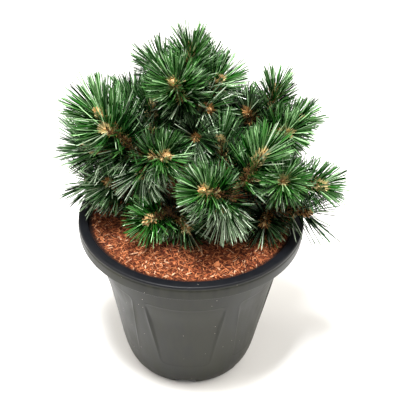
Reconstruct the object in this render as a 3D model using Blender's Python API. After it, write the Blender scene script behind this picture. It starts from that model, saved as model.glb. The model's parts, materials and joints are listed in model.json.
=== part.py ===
"""Potted dwarf pine: a compact, bushy conifer in a round nursery pot.

Metres, +Z up. The pot's front is at -Y. The origin is the centre of the pot's flat underside.
The plant is a short trunk, its boughs, and a needled shoot for each growing tip.
"""
import math
import random
from collections import namedtuple

import bmesh
import bpy
from mathutils import Quaternion, Vector
from mathutils.bvhtree import BVHTree

# Clearance between neighbouring solids
GAP = 0.0003

# Pot wall: a cone with a rounded foot
POT_HEIGHT = 0.237
WALL_TOP_RADIUS = 0.135
WALL_FOOT_RADIUS = 0.090
WALL_THICKNESS = 0.0045
FLOOR_THICKNESS = 0.014
FOOT_CORNER_HEIGHT = 0.032
FOOT_CORNER_INSET = 0.0072

# Pot rim: a rolled flange with a skirt that hangs clear of the wall
RIM_RADIUS = 0.150
RIM_INNER_RADIUS = 0.1385
RIM_ROLL = 0.0018
RIM_LIP_RADIUS = 0.1360
RIM_LIP_DEPTH = 0.0070
SKIRT_HEIGHT = 0.020
SKIRT_THICKNESS = 0.0026
SKIRT_TAPER = 0.0006
FLANGE_THICKNESS = 0.006
FLARE_START = 0.212

# Recessed panels round the wall, wider and deeper at the top
PANELS = 6
PANEL_TURN = math.radians(-2.3)
PANEL_BOTTOM = 0.045
PANEL_TOP = 0.175
PANEL_HALF_BOTTOM = math.radians(18.0)
PANEL_HALF_TOP = math.radians(25.9)
PANEL_DEPTH_BOTTOM = 0.0008
PANEL_DEPTH_TOP = 0.0022
PANEL_EDGE = 0.0022
PANEL_CORNER = 0.010

# Drainage: a channel under each panel, with a hole at its inner end
CHANNEL_WIDTH = 0.029
CHANNEL_HEIGHT = 0.011
CHANNEL_INNER_RADIUS = 0.052
CHANNEL_OUTER_RADIUS = 0.100
HOLE_RADIUS = 0.006
HOLE_PITCH_RADIUS = 0.064
HOLE_SIDES = 10

# Potting mix, mounded a little round the trunk
MIX_EDGE_HEIGHT = 0.2318
MIX_TOP_HEIGHT = 0.2345
MIX_RINGS = (0.99, 0.66)
MIX_FLAT_RADIUS = 0.030
MIX_ROUGHNESS = 0.0011

# Trunk: a flared foot, then an even taper with a slight sway; shares are of its height
TRUNK_FOOT = (0.001, 0.006)
TRUNK_SIDES = 10
TRUNK_RADIUS = 0.0112
TRUNK_TIP_RADIUS = 0.0048
TRUNK_FLARE = ((0.0, 0.0165), (0.030, 0.0132), (0.085, TRUNK_RADIUS))
TRUNK_STEPS = (0.25, 0.45, 0.65, 0.82)
TRUNK_SWAY = (0.004, -0.006, 0.0)

# Boughs, and the knob that ends a limb: steps along it and radii there, both in knob radii
BOUGH_SIDES = 6
BOUGH_TIP_RADIUS = 0.0032
BOUGH_STEPS = (0.0, 0.22, 0.45, 0.68, 0.86)
ELBOW_SHARE = 0.55
KNOB_RADIUS = 0.0060
KNOB_NECK = 1.5
KNOB_APPROACH = 1.7
KNOB_PROFILE = ((-0.80, 0.66), (-0.25, 0.97), (0.35, 0.94), (0.85, 0.50))

# Needled shoots: a stem that swells into a slim core of needle bases, then a bud
STEM_SIDES = 4
STEM_RADIUS = 0.0021
CORE_RADIUS = 0.0050
CORE_PROFILE = ((0.18, 0.2), (0.72, 1.0))
BUD_LENGTH = 0.010
BUD_PROFILE = ((1.0, STEM_RADIUS), (0.55, 0.0031), (0.0, 0.0004))

# Needles, larger than life and fewer: their lean from the stem in degrees, from its foot to its tip
NEEDLES_PER_METRE = 405.0
NEEDLE_ROOT_RADIUS = 0.0025
ROOT_IN_CORE = 0.75
NEEDLE_START = 0.22
NEEDLE_END = 0.88
LEAN_LOW = 78.0
LEAN_HIGH = 34.0
LEAN_SPREAD = 14.0
TURN_SPREAD = 0.2
LENGTH_SPREAD = (0.88, 1.08)
GOLDEN_TURN = math.pi * (3.0 - math.sqrt(5.0))

# How far needles keep from their neighbours' space, and what is tried before one is skipped
SPACE_MARGIN = 0.0014
LIMB_MARGIN = 0.0014
MIX_MARGIN = 0.0010
LEAN_TRIES = (1.0, 0.75, 0.5)
LENGTH_TRIES = (1.0, 0.82, 0.68)
NEEDLE_SAMPLES = (0.14, 0.28, 0.42, 0.56, 0.7, 0.85, 1.0)

# Where each limb ends in a knob of buds; the crown's is the trunk's own tip
KNOBS = {
    "crown": (-0.005, 0.030, 0.385),
    "left": (-0.060, -0.010, 0.325),
    "front": (0.048, -0.050, 0.300),
    "right_back": (0.090, 0.030, 0.345),
    "right": (0.115, -0.010, 0.298),
    "low_right": (0.103, -0.015, 0.262),
    "low_left": (-0.082, -0.008, 0.275),
    "low_front": (-0.028, -0.035, 0.265),
    "back_left": (-0.060, 0.070, 0.300),
    "back_right": (0.055, 0.080, 0.300),
}

# Boughs: height where each leaves the trunk, its radius there, height of its elbow
BOUGHS = {
    "left": (0.292, 0.0054, 0.300),
    "front": (0.262, 0.0054, 0.272),
    "right_back": (0.303, 0.0052, 0.312),
    "right": (0.278, 0.0054, 0.284),
    "low_right": (0.2465, 0.0046, 0.250),
    "low_left": (0.254, 0.0046, 0.258),
    "low_front": (0.2475, 0.0044, 0.254),
    "back_left": (0.268, 0.0050, 0.276),
    "back_right": (0.262, 0.0050, 0.270),
}

# Shoots: each grows from a knob, or from the trunk where the seat is a height. Azimuths run
# from +X towards +Y, and a shoot's length is measured from its seat's middle to its bud's tip.
Shoot = namedtuple("Shoot", "seat azimuth rise length needle colour")
SHOOT_ROWS = {
    "crown_leader": ("crown", 85, 86, 0.085, 0.040, "green"),
    "crown_front": ("crown", -111, 47, 0.085, 0.045, "fresh"),
    "crown_right": ("crown", 0, 44, 0.060, 0.042, "green"),
    "crown_left_back": ("crown", 150, 43, 0.068, 0.044, "green"),
    "crown_right_back": ("crown", 62, 38, 0.062, 0.040, "green"),
    "crown_low_right": ("crown", -56, 18, 0.052, 0.038, "old"),
    "crown_back": ("crown", 100, -5, 0.060, 0.042, "old"),
    "mid_front": (0.343, -85, 32, 0.064, 0.040, "old"),
    "mid_left": (0.352, -165, 35, 0.060, 0.042, "old"),
    "mid_right": (0.334, -15, 40, 0.056, 0.040, "old"),
    "mid_back": (0.345, 105, 22, 0.066, 0.042, "old"),
    "left_out": ("left", -160, 55, 0.106, 0.054, "fresh"),
    "left_side": ("left", 178, 14, 0.084, 0.052, "green"),
    "left_upright": ("left", 50, 76, 0.082, 0.042, "green"),
    "left_back": ("left", 108, 44, 0.088, 0.045, "green"),
    "left_front": ("left", -56, 34, 0.074, 0.041, "fresh"),
    "left_low": ("left", -96, -20, 0.044, 0.042, "old"),
    "low_left_front": ("low_left", -133, 42, 0.050, 0.040, "old"),
    "low_left_side": ("low_left", 172, 10, 0.060, 0.046, "old"),
    "right_back_upright": ("right_back", 35, 76, 0.071, 0.036, "green"),
    "right_back_inner": ("right_back", -142, 54, 0.055, 0.036, "old"),
    "right_back_outer": ("right_back", 0, 25, 0.060, 0.037, "green"),
    "right_back_front": ("right_back", -62, 28, 0.066, 0.040, "fresh"),
    "right_back_low": ("right_back", -100, -15, 0.050, 0.038, "old"),
    "front_right": ("front", -15, 62, 0.086, 0.044, "fresh"),
    "front_upright": ("front", 128, 71, 0.080, 0.042, "green"),
    "front_left": ("front", -127, 36, 0.078, 0.043, "fresh"),
    "front_low": ("front", -118, -14, 0.040, 0.047, "old"),
    "right_out": ("right", -20, 7, 0.057, 0.039, "green"),
    "right_front": ("right", -95, 35, 0.068, 0.041, "fresh"),
    "right_rear": ("right", 105, 10, 0.046, 0.034, "old"),
    "low_right_out": ("low_right", -17, 3, 0.058, 0.054, "yellowed"),
    "low_right_front": ("low_right", -105, 0, 0.045, 0.036, "old"),
    "low_front_left": ("low_front", -133, 8, 0.047, 0.039, "fresh"),
    "low_front_right": ("low_front", -45, -8, 0.042, 0.034, "yellowed"),
    "low_front_pale": ("low_front", 172, 14, 0.040, 0.032, "yellowed"),
    "back_left_out": ("back_left", 150, 32, 0.065, 0.044, "green"),
    "back_left_rear": ("back_left", 95, 25, 0.065, 0.042, "green"),
    "back_left_low": ("back_left", 190, -8, 0.055, 0.042, "old"),
    "back_right_out": ("back_right", 20, 15, 0.055, 0.040, "green"),
    "back_right_rear": ("back_right", 75, 25, 0.065, 0.042, "green"),
    "back_right_up": ("back_right", 120, 45, 0.055, 0.036, "green"),
}
SHOOTS = {name: Shoot(*row) for name, row in SHOOT_ROWS.items()}

# Colours in linear light, with roughness
FINISHES = {
    "pot_plastic": ((0.090, 0.094, 0.084), 0.45),
    "mix": ((0.330, 0.105, 0.035), 0.95),
    "bark": ((0.125, 0.070, 0.040), 0.85),
    "fresh": ((0.080, 0.215, 0.045), 0.50),
    "green": ((0.040, 0.125, 0.035), 0.50),
    "old": ((0.050, 0.110, 0.065), 0.55),
    "yellowed": ((0.200, 0.210, 0.070), 0.55),
}


def clear_scene():
    """Removes whatever the scene holds."""
    for thing in list(bpy.data.objects):
        bpy.data.objects.remove(thing)


def make_materials():
    """One Principled material for each finish."""
    materials = {}
    for name, (colour, roughness) in FINISHES.items():
        material = bpy.data.materials.new(name)
        material.use_nodes = True
        shader = material.node_tree.nodes["Principled BSDF"]
        shader.inputs["Base Color"].default_value = (*colour, 1.0)
        shader.inputs["Roughness"].default_value = roughness
        shader.inputs["Metallic"].default_value = 0.0
        materials[name] = material
    return materials


def add_object(name, bm, material=None):
    """Puts a finished bmesh in the scene as a named object."""
    bmesh.ops.recalc_face_normals(bm, faces=bm.faces)
    mesh = bpy.data.meshes.new(name)
    bm.to_mesh(mesh)
    bm.free()
    piece = bpy.data.objects.new(name, mesh)
    bpy.context.scene.collection.objects.link(piece)
    if material:
        mesh.materials.append(material)
    return piece


def keep_largest_shell(bm):
    """Drops loose scraps and the walls of sealed hollows, which leaves one outer shell."""
    remaining = set(bm.faces)
    shells = []
    while remaining:
        stack = [remaining.pop()]
        shell = list(stack)
        while stack:
            for edge in stack.pop().edges:
                for face in edge.link_faces:
                    if face in remaining:
                        remaining.remove(face)
                        shell.append(face)
                        stack.append(face)
        shells.append(shell)
    shells.sort(key=len)
    for shell in shells[:-1]:
        bmesh.ops.delete(bm, geom=shell, context="FACES")


def apply_boolean(piece, operation, others, material):
    """Joins a piece with a collection of others, or cuts it, and removes them once applied."""
    group = bpy.data.collections.new("operands")
    bpy.context.scene.collection.children.link(group)
    for other in others:
        bpy.context.scene.collection.objects.unlink(other)
        group.objects.link(other)
    modifier = piece.modifiers.new("Boolean", "BOOLEAN")
    modifier.operation = operation
    modifier.solver = "EXACT"
    modifier.operand_type = "COLLECTION"
    modifier.collection = group
    evaluated = piece.evaluated_get(bpy.context.evaluated_depsgraph_get())
    mesh = bpy.data.meshes.new_from_object(evaluated)
    piece.modifiers.clear()
    bm = bmesh.new()
    bm.from_mesh(mesh)
    keep_largest_shell(bm)
    bmesh.ops.triangulate(bm, faces=bm.faces)
    for face in bm.faces:
        face.material_index = 0
    bm.to_mesh(mesh)
    bm.free()
    mesh.materials.clear()
    mesh.materials.append(material)
    piece.data = mesh
    for other in others:
        bpy.data.objects.remove(other)
    bpy.data.collections.remove(group)


def shade_round(piece, angle):
    """Smooth shading, with edges sharper than the angle kept."""
    piece.data.shade_smooth()
    piece.data.set_sharp_from_angle(angle=math.radians(angle))


def blend(low, high, share):
    """The value that lies a share of the way from low to high."""
    return low + (high - low) * share


def wall_radius(z):
    """Outer radius of the pot's plain wall, with its rounded foot."""
    cone = blend(WALL_FOOT_RADIUS, WALL_TOP_RADIUS, z / POT_HEIGHT)
    drop = max(0.0, 1.0 - z / FOOT_CORNER_HEIGHT)
    return cone - FOOT_CORNER_INSET * (1.0 - math.sqrt(1.0 - drop * drop))


def panel_half(z):
    """Half the angle that a panel spans at a height."""
    share = (z - PANEL_BOTTOM) / (PANEL_TOP - PANEL_BOTTOM)
    return blend(PANEL_HALF_BOTTOM, PANEL_HALF_TOP, min(max(share, 0.0), 1.0))


def panel_depth(z):
    """Depth of a panel's field at a height."""
    share = (z - PANEL_BOTTOM) / (PANEL_TOP - PANEL_BOTTOM)
    return blend(PANEL_DEPTH_BOTTOM, PANEL_DEPTH_TOP, share)


def pot_ring(bm, radius, z, narrowing=0.0, depth=0.0):
    """One ring of points: on each panel a field between two edges, then the pilaster's middle."""
    half = panel_half(z) - narrowing / radius
    field = half - PANEL_EDGE / radius
    steps = [(-math.pi / PANELS, 0.0), (-half, 0.0)]
    steps += [(field * share, depth) for share in (-1.0, -0.6, -0.2, 0.2, 0.6, 1.0)]
    steps += [(half, 0.0)]
    ring = []
    for panel in range(PANELS):
        middle = PANEL_TURN + panel * math.tau / PANELS
        for turn, inset in steps:
            angle = middle + turn
            reach = radius - inset
            ring.append(bm.verts.new((reach * math.sin(angle), -reach * math.cos(angle), z)))
    return ring


def bridge(bm, lower, upper):
    """A band of faces between two rings of as many points."""
    count = len(lower)
    for i in range(count):
        j = (i + 1) % count
        bm.faces.new((lower[i], lower[j], upper[j], upper[i]))


def close_rings(bm, rings):
    """Bands between the rings in turn, and a flat face on the first and last."""
    for lower, upper in zip(rings, rings[1:]):
        bridge(bm, lower, upper)
    bm.faces.new(rings[0])
    bm.faces.new(rings[-1])


def foot_rings(bm):
    """The rounded foot, from the flat underside to the straight wall."""
    heights = [FOOT_CORNER_HEIGHT * share for share in (0.0, 0.12, 0.42, 1.0)]
    return [pot_ring(bm, wall_radius(z), z) for z in heights]


def panel_rings(bm):
    """The recessed panels, with rounded corners above and below."""
    low = [
        (PANEL_BOTTOM, PANEL_CORNER, False),
        (PANEL_BOTTOM + PANEL_EDGE, PANEL_CORNER, True),
        (PANEL_BOTTOM + PANEL_CORNER, 0.0, True),
    ]
    high = [
        (PANEL_TOP - PANEL_CORNER, 0.0, True),
        (PANEL_TOP - PANEL_EDGE, 0.7 * PANEL_CORNER, True),
        (PANEL_TOP, PANEL_CORNER, False),
    ]
    rings = []
    for z, narrowing, recessed in low + high:
        depth = panel_depth(z) if recessed else 0.0
        rings.append(pot_ring(bm, wall_radius(z), z, narrowing, depth))
    return rings


def rim_rings(bm):
    """The wall's flare, the hollow skirt and the rolled flange, ending at the inner lip."""
    top = POT_HEIGHT
    ceiling = top - FLANGE_THICKNESS
    skirt_foot = top - SKIRT_HEIGHT
    profile = [
        (wall_radius(FLARE_START), FLARE_START),
        (RIM_LIP_RADIUS + WALL_THICKNESS, ceiling),
        (RIM_RADIUS - SKIRT_THICKNESS, ceiling),
        (RIM_RADIUS - SKIRT_THICKNESS, skirt_foot),
        (RIM_RADIUS - SKIRT_TAPER, skirt_foot),
        (RIM_RADIUS, top - 2.4 * RIM_ROLL),
        (RIM_RADIUS - 0.35 * RIM_ROLL, top - 0.8 * RIM_ROLL),
        (RIM_RADIUS - 1.4 * RIM_ROLL, top),
        (RIM_INNER_RADIUS, top),
        (RIM_INNER_RADIUS - RIM_ROLL, top - 0.8 * RIM_ROLL),
        (RIM_LIP_RADIUS, top - RIM_LIP_DEPTH),
    ]
    return [pot_ring(bm, radius, z) for radius, z in profile]


def inner_wall_radius(z):
    """Inner radius of the pot below its flare."""
    return blend(WALL_FOOT_RADIUS, WALL_TOP_RADIUS, z / POT_HEIGHT) - WALL_THICKNESS


def pot_shell(material):
    """The pot as one turned shell, before its drainage is cut."""
    bm = bmesh.new()
    rings = foot_rings(bm) + panel_rings(bm) + rim_rings(bm)
    rings += [pot_ring(bm, inner_wall_radius(z), z) for z in (FLARE_START, FLOOR_THICKNESS)]
    close_rings(bm, rings)
    return add_object("pot", bm, material)


def drainage_cutters():
    """A box for each channel and a round plug for each hole."""
    length = CHANNEL_OUTER_RADIUS - CHANNEL_INNER_RADIUS
    middle = (CHANNEL_OUTER_RADIUS + CHANNEL_INNER_RADIUS) / 2.0
    cutters = []
    for panel in range(PANELS):
        turn = PANEL_TURN + panel * math.tau / PANELS
        outward = Vector((math.sin(turn), -math.cos(turn), 0.0))
        upright = Quaternion((0.0, 0.0, 1.0), turn).to_matrix().to_4x4()
        bm = bmesh.new()
        bmesh.ops.create_cube(bm, size=1.0)
        bmesh.ops.scale(bm, vec=(CHANNEL_WIDTH, length, 2.0 * CHANNEL_HEIGHT), verts=bm.verts)
        bmesh.ops.transform(bm, matrix=upright, verts=bm.verts)
        bmesh.ops.translate(bm, vec=outward * middle, verts=bm.verts)
        cutters.append(add_object("channel", bm))
        bm = bmesh.new()
        bmesh.ops.create_cone(
            bm,
            cap_ends=True,
            segments=HOLE_SIDES,
            radius1=HOLE_RADIUS,
            radius2=HOLE_RADIUS,
            depth=3.0 * FLOOR_THICKNESS,
        )
        bmesh.ops.translate(bm, vec=outward * HOLE_PITCH_RADIUS, verts=bm.verts)
        cutters.append(add_object("hole", bm))
    return cutters


def make_pot(materials):
    """The nursery pot with its panels, skirted rim and drainage."""
    pot = pot_shell(materials["pot_plastic"])
    apply_boolean(pot, "DIFFERENCE", drainage_cutters(), materials["pot_plastic"])
    shade_round(pot, 30.0)


def make_mix(materials):
    """The potting mix that fills the pot, with an uneven, gently mounded top."""
    rng = random.Random("potting mix")
    bm = bmesh.new()
    floor = FLOOR_THICKNESS + GAP
    lip = RIM_LIP_RADIUS - GAP
    sides = [
        pot_ring(bm, inner_wall_radius(floor) - GAP, floor),
        pot_ring(bm, inner_wall_radius(FLARE_START) - GAP, FLARE_START),
        pot_ring(bm, lip, POT_HEIGHT - RIM_LIP_DEPTH),
    ]
    mound = []
    for share in MIX_RINGS:
        mound.append(pot_ring(bm, lip * share, blend(MIX_TOP_HEIGHT, MIX_EDGE_HEIGHT, share)))
    for ring in mound:
        for vert in ring:
            vert.co.z += rng.uniform(-MIX_ROUGHNESS, MIX_ROUGHNESS)
    rings = sides + mound
    rings.append(pot_ring(bm, MIX_FLAT_RADIUS, MIX_TOP_HEIGHT))
    close_rings(bm, rings)
    mix = add_object("potting_mix", bm, materials["mix"])
    shade_round(mix, 40.0)


def knob_end(centre, heading, neck_radius):
    """Points and radii that end a limb in a rounded knob about the centre."""
    points = [centre - heading * KNOB_NECK * KNOB_RADIUS]
    radii = [neck_radius]
    for step, swell in KNOB_PROFILE:
        points.append(centre + heading * step * KNOB_RADIUS)
        radii.append(swell * KNOB_RADIUS)
    return points, radii


def trunk_path():
    """Points and radii of the trunk, from its flat foot to the crown's knob."""
    foot = Vector((*TRUNK_FOOT, MIX_TOP_HEIGHT + GAP))
    knob = Vector(KNOBS["crown"])
    taper = [(share, blend(TRUNK_RADIUS, TRUNK_TIP_RADIUS, share)) for share in TRUNK_STEPS]
    points = []
    radii = []
    for share, radius in list(TRUNK_FLARE) + taper:
        sway = Vector(TRUNK_SWAY) * math.sin(share * math.pi)
        points.append(foot.lerp(knob, share) + sway)
        radii.append(radius)
    heading = (knob - points[-1]).normalized()
    knob_points, knob_radii = knob_end(knob, heading, TRUNK_TIP_RADIUS)
    return points + knob_points, radii + knob_radii


def trunk_point(height):
    """The point of the trunk's axis at a height."""
    points, _ = trunk_path()
    for low, high in zip(points, points[1:]):
        if low.z <= height <= high.z:
            return low.lerp(high, (height - low.z) / (high.z - low.z))
    raise ValueError("the height is off the trunk")


def bough_path(name):
    """Points and radii of a bough, from the trunk's axis past an elbow to its knob."""
    height, radius, elbow_height = BOUGHS[name]
    start = trunk_point(height)
    knob = Vector(KNOBS[name])
    elbow = start.lerp(knob, ELBOW_SHARE)
    elbow.z = elbow_height
    points = []
    radii = []
    for share in BOUGH_STEPS:
        point = start.lerp(elbow, share).lerp(elbow.lerp(knob, share), share)
        if (point - knob).length > KNOB_APPROACH * KNOB_RADIUS:
            points.append(point)
            radii.append(blend(radius, BOUGH_TIP_RADIUS, share))
    heading = (knob - elbow).normalized()
    knob_points, knob_radii = knob_end(knob, heading, BOUGH_TIP_RADIUS)
    return points + knob_points, radii + knob_radii


def ring_spokes(sides, radius):
    """Evenly turned spokes of a flat ring about Z."""
    turns = [side * math.tau / sides for side in range(sides)]
    return [Vector((math.cos(turn), math.sin(turn), 0.0)) * radius for turn in turns]


def sweep(points, radii, sides, upright_foot=False):
    """A closed round limb through the points, with one ring of the radius at each."""
    bm = bmesh.new()
    rings = []
    turn = None
    last_heading = None
    for i, (point, radius) in enumerate(zip(points, radii)):
        heading = (points[min(i + 1, len(points) - 1)] - points[max(i - 1, 0)]).normalized()
        if upright_foot and i == 0:
            heading = Vector((0.0, 0.0, 1.0))
        if turn is None:
            turn = heading.to_track_quat("Z", "Y")
        else:
            turn = last_heading.rotation_difference(heading) @ turn
        last_heading = heading
        rings.append([bm.verts.new(point + turn @ spoke) for spoke in ring_spokes(sides, radius)])
    close_rings(bm, rings)
    return bm


def make_trunk(materials):
    """The trunk, flared where it meets the mix."""
    points, radii = trunk_path()
    trunk = add_object("trunk", sweep(points, radii, TRUNK_SIDES, upright_foot=True), materials["bark"])
    shade_round(trunk, 40.0)
    return trunk


def trunk_clearance():
    """The trunk grown by the gap, which cuts the boughs' inner ends to its shape."""
    points, radii = trunk_path()
    grown = [radius + GAP / math.cos(math.pi / TRUNK_SIDES) for radius in radii]
    return add_object("clearance", sweep(points, grown, TRUNK_SIDES, upright_foot=True))


def make_boughs(materials):
    """Each bough as one tapering limb, cut clear of the trunk."""
    boughs = {}
    for name in BOUGHS:
        points, radii = bough_path(name)
        bough = add_object("bough_" + name, sweep(points, radii, BOUGH_SIDES), materials["bark"])
        apply_boolean(bough, "DIFFERENCE", [trunk_clearance()], materials["bark"])
        shade_round(bough, 40.0)
        boughs[name] = bough
    return boughs


def heading_of(azimuth, rise):
    """The unit vector of an azimuth and a rise in degrees."""
    azimuth = math.radians(azimuth)
    rise = math.radians(rise)
    level = math.cos(rise)
    return Vector((math.cos(azimuth) * level, math.sin(azimuth) * level, math.sin(rise)))


def shoot_axis(name):
    """The ends of a shoot's stem on its axis: by what carries it, and the bud's tip."""
    shoot = SHOOTS[name]
    heading = heading_of(shoot.azimuth, shoot.rise)
    if shoot.seat in KNOBS:
        centre = Vector(KNOBS[shoot.seat])
        clear = KNOB_RADIUS
    else:
        centre = trunk_point(shoot.seat)
        clear = TRUNK_RADIUS
    return centre + heading * (clear + GAP), centre + heading * shoot.length


def distance_to_axis(point, start, end):
    """Distance from a point to the stretch between two others."""
    along = end - start
    share = (point - start).dot(along) / along.length_squared
    return (point - start - along * min(max(share, 0.0), 1.0)).length


class Space:
    """The room that each shoot keeps to, between its neighbours, the limbs, the mix and the pot."""

    def __init__(self):
        self.shoots = {name: shoot_axis(name) for name in SHOOTS}
        self.limbs = [trunk_path()] + [bough_path(name) for name in BOUGHS]

    def clears_limbs(self, point, half_width):
        """Whether a needle as wide as this at a point is well off every limb."""
        for points, radii in self.limbs:
            for low, high, radius in zip(points, points[1:], radii):
                if distance_to_axis(point, low, high) < radius + half_width + LIMB_MARGIN:
                    return False
        return True

    def clears_pot(self, point, half_width):
        """Whether a needle as wide as this at a point is above the mix and off the pot's rim."""
        reach = math.hypot(point.x, point.y)
        clearance = half_width + MIX_MARGIN
        if reach < RIM_LIP_RADIUS - clearance:
            return point.z > MIX_TOP_HEIGHT + clearance
        if reach < RIM_RADIUS + clearance:
            return point.z > POT_HEIGHT + clearance
        return True

    def neighbour_distance(self, name, point):
        """Distance from a point to the nearest other shoot's stem."""
        others = [axis for other, axis in self.shoots.items() if other != name]
        return min(distance_to_axis(point, *axis) for axis in others)

    def holds(self, name, point, half_width):
        """Whether a needle at a point keeps nearer to its own shoot than to any other, in the open."""
        own = distance_to_axis(point, *self.shoots[name])
        if self.neighbour_distance(name, point) < own + 2.0 * half_width + SPACE_MARGIN:
            return False
        return self.clears_pot(point, half_width) and self.clears_limbs(point, half_width)

    def core_room(self, name, point):
        """The radius of a core about a point of the stem that stays in the shoot's space."""
        room = self.neighbour_distance(name, point) / 2.0 - SPACE_MARGIN
        for points, radii in self.limbs:
            for low, high, radius in zip(points, points[1:], radii):
                room = min(room, distance_to_axis(point, low, high) - radius - LIMB_MARGIN)
        return min(room, point.z - MIX_TOP_HEIGHT - MIX_MARGIN)


def spike(root, tip, radius, turn):
    """A three-sided needle from a flat root to a point."""
    bm = bmesh.new()
    heading = (tip - root).normalized()
    around = heading.to_track_quat("Z", "Y") @ Quaternion((0.0, 0.0, 1.0), turn)
    base = [bm.verts.new(root + around @ spoke) for spoke in ring_spokes(3, radius)]
    point = bm.verts.new(tip)
    bm.faces.new(base)
    for side in range(3):
        bm.faces.new((base[side], base[(side + 1) % 3], point))
    return bm


def shoot_core(name, space):
    """Shares of the stem's length and radii there, up to the bud."""
    start, tip = space.shoots[name]
    core = []
    for share, swell in CORE_PROFILE:
        room = space.core_room(name, start.lerp(tip, share))
        wanted = blend(STEM_RADIUS, CORE_RADIUS, swell)
        core.append((share, max(min(wanted, room), STEM_RADIUS)))
    return core


def core_radius(core, share):
    """The core's radius at a share of the stem's length."""
    for (low, low_radius), (high, high_radius) in zip(core, core[1:]):
        if low <= share <= high:
            return blend(low_radius, high_radius, (share - low) / (high - low))
    last, last_radius = core[-1]
    return blend(last_radius, STEM_RADIUS, (share - last) / (1.0 - last))


def fitted_needle(name, space, root, radius, heading, outward, lean, length):
    """The tip of a needle that keeps to its shoot's space, bent in or shortened, or None."""
    for trim in LENGTH_TRIES:
        for bend in LEAN_TRIES:
            angle = math.radians(lean * bend)
            needle = heading * math.cos(angle) + outward * math.sin(angle)
            end = root + needle * length * trim
            samples = [(root.lerp(end, step), radius * (1.0 - step)) for step in NEEDLE_SAMPLES]
            if all(space.holds(name, point, half_width) for point, half_width in samples):
                return end
    return None


def shoot_needles(name, space, core):
    """The needles of a shoot by the growing rule, less those that would leave its space."""
    rng = random.Random(name)
    start, tip = space.shoots[name]
    stem = tip - start
    heading = stem.normalized()
    side = heading.orthogonal().normalized()
    count = round(stem.length * (1.0 - NEEDLE_START) * NEEDLES_PER_METRE)
    needles = []
    for i in range(count):
        share = (i + 0.5) / count
        height = blend(NEEDLE_START, NEEDLE_END, share)
        root = start.lerp(tip, height)
        turn = i * GOLDEN_TURN + rng.uniform(-TURN_SPREAD, TURN_SPREAD)
        lean = blend(LEAN_LOW, LEAN_HIGH, share) + rng.uniform(-LEAN_SPREAD, LEAN_SPREAD)
        length = SHOOTS[name].needle * rng.uniform(*LENGTH_SPREAD)
        outward = Quaternion(heading, turn) @ side
        radius = min(NEEDLE_ROOT_RADIUS, ROOT_IN_CORE * core_radius(core, height))
        end = fitted_needle(name, space, root, radius, heading, outward, lean, length)
        if end:
            needles.append((root, end, radius, turn))
    return needles


def stem_start(seat_tree, start, heading):
    """The nearest place to the limb where the stem's flat root still keeps the gap."""
    around = heading.to_track_quat("Z", "Y")
    disc = [Vector((0.0, 0.0, 0.0))]
    for reach in (0.35, 0.7, 1.0):
        disc += [around @ spoke for spoke in ring_spokes(3 * STEM_SIDES, STEM_RADIUS * reach)]
    step = -TRUNK_RADIUS / 2.0
    while True:
        centre = start + heading * step
        if all(outside_by(seat_tree, centre + point) >= GAP for point in disc):
            return centre
        step += 0.2 * GAP


def outside_by(tree, point):
    """How far a point lies outside a closed surface, or less than nothing inside it."""
    nearest, normal, _, distance = tree.find_nearest(point)
    return distance if (point - nearest).dot(normal) > 0.0 else -distance


def make_shoot(name, space, seat_tree, material):
    """A shoot: a stem with its core and bud, with its needles fused on."""
    start, tip = space.shoots[name]
    heading = (tip - start).normalized()
    core = shoot_core(name, space)
    points = [stem_start(seat_tree, start, heading)]
    points += [start.lerp(tip, share) for share, _ in core]
    points += [tip - heading * BUD_LENGTH * share for share, _ in BUD_PROFILE]
    radii = [STEM_RADIUS] + [radius for _, radius in core + list(BUD_PROFILE)]
    shoot = add_object("shoot_" + name, sweep(points, radii, STEM_SIDES), material)
    needles = []
    for root, end, radius, turn in shoot_needles(name, space, core):
        needles.append(add_object("needle", spike(root, end, radius, turn)))
    apply_boolean(shoot, "UNION", needles, material)


def mesh_tree(piece):
    """A search tree of a piece's surface."""
    bm = bmesh.new()
    bm.from_mesh(piece.data)
    tree = BVHTree.FromBMesh(bm)
    bm.free()
    return tree


def make_shoots(materials, limbs):
    """Every shoot, on the knob that carries it."""
    space = Space()
    trees = {name: mesh_tree(limb) for name, limb in limbs.items()}
    for name, shoot in SHOOTS.items():
        seat_tree = trees.get(shoot.seat, trees["crown"])
        make_shoot(name, space, seat_tree, materials[shoot.colour])


def main():
    """Builds the pot, the mix, the limbs and the shoots."""
    clear_scene()
    materials = make_materials()
    make_pot(materials)
    make_mix(materials)
    limbs = {"crown": make_trunk(materials)}
    limbs.update(make_boughs(materials))
    make_shoots(materials, limbs)


main()
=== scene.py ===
"""The looks of a potted dwarf pine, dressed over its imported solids.

Metres, +Z up, in the frame of the solids: the pot's front is at -Y. The pot, the mulch, the bark,
the twigs, the buds and the needles are each made here, finer than the solids that they stand for.
"""

import json
import math
from collections import namedtuple

import bmesh
import bpy
import numpy as np
from bpy.props import FloatProperty, FloatVectorProperty, IntProperty, PointerProperty
from mathutils import Matrix, Vector, noise

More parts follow.
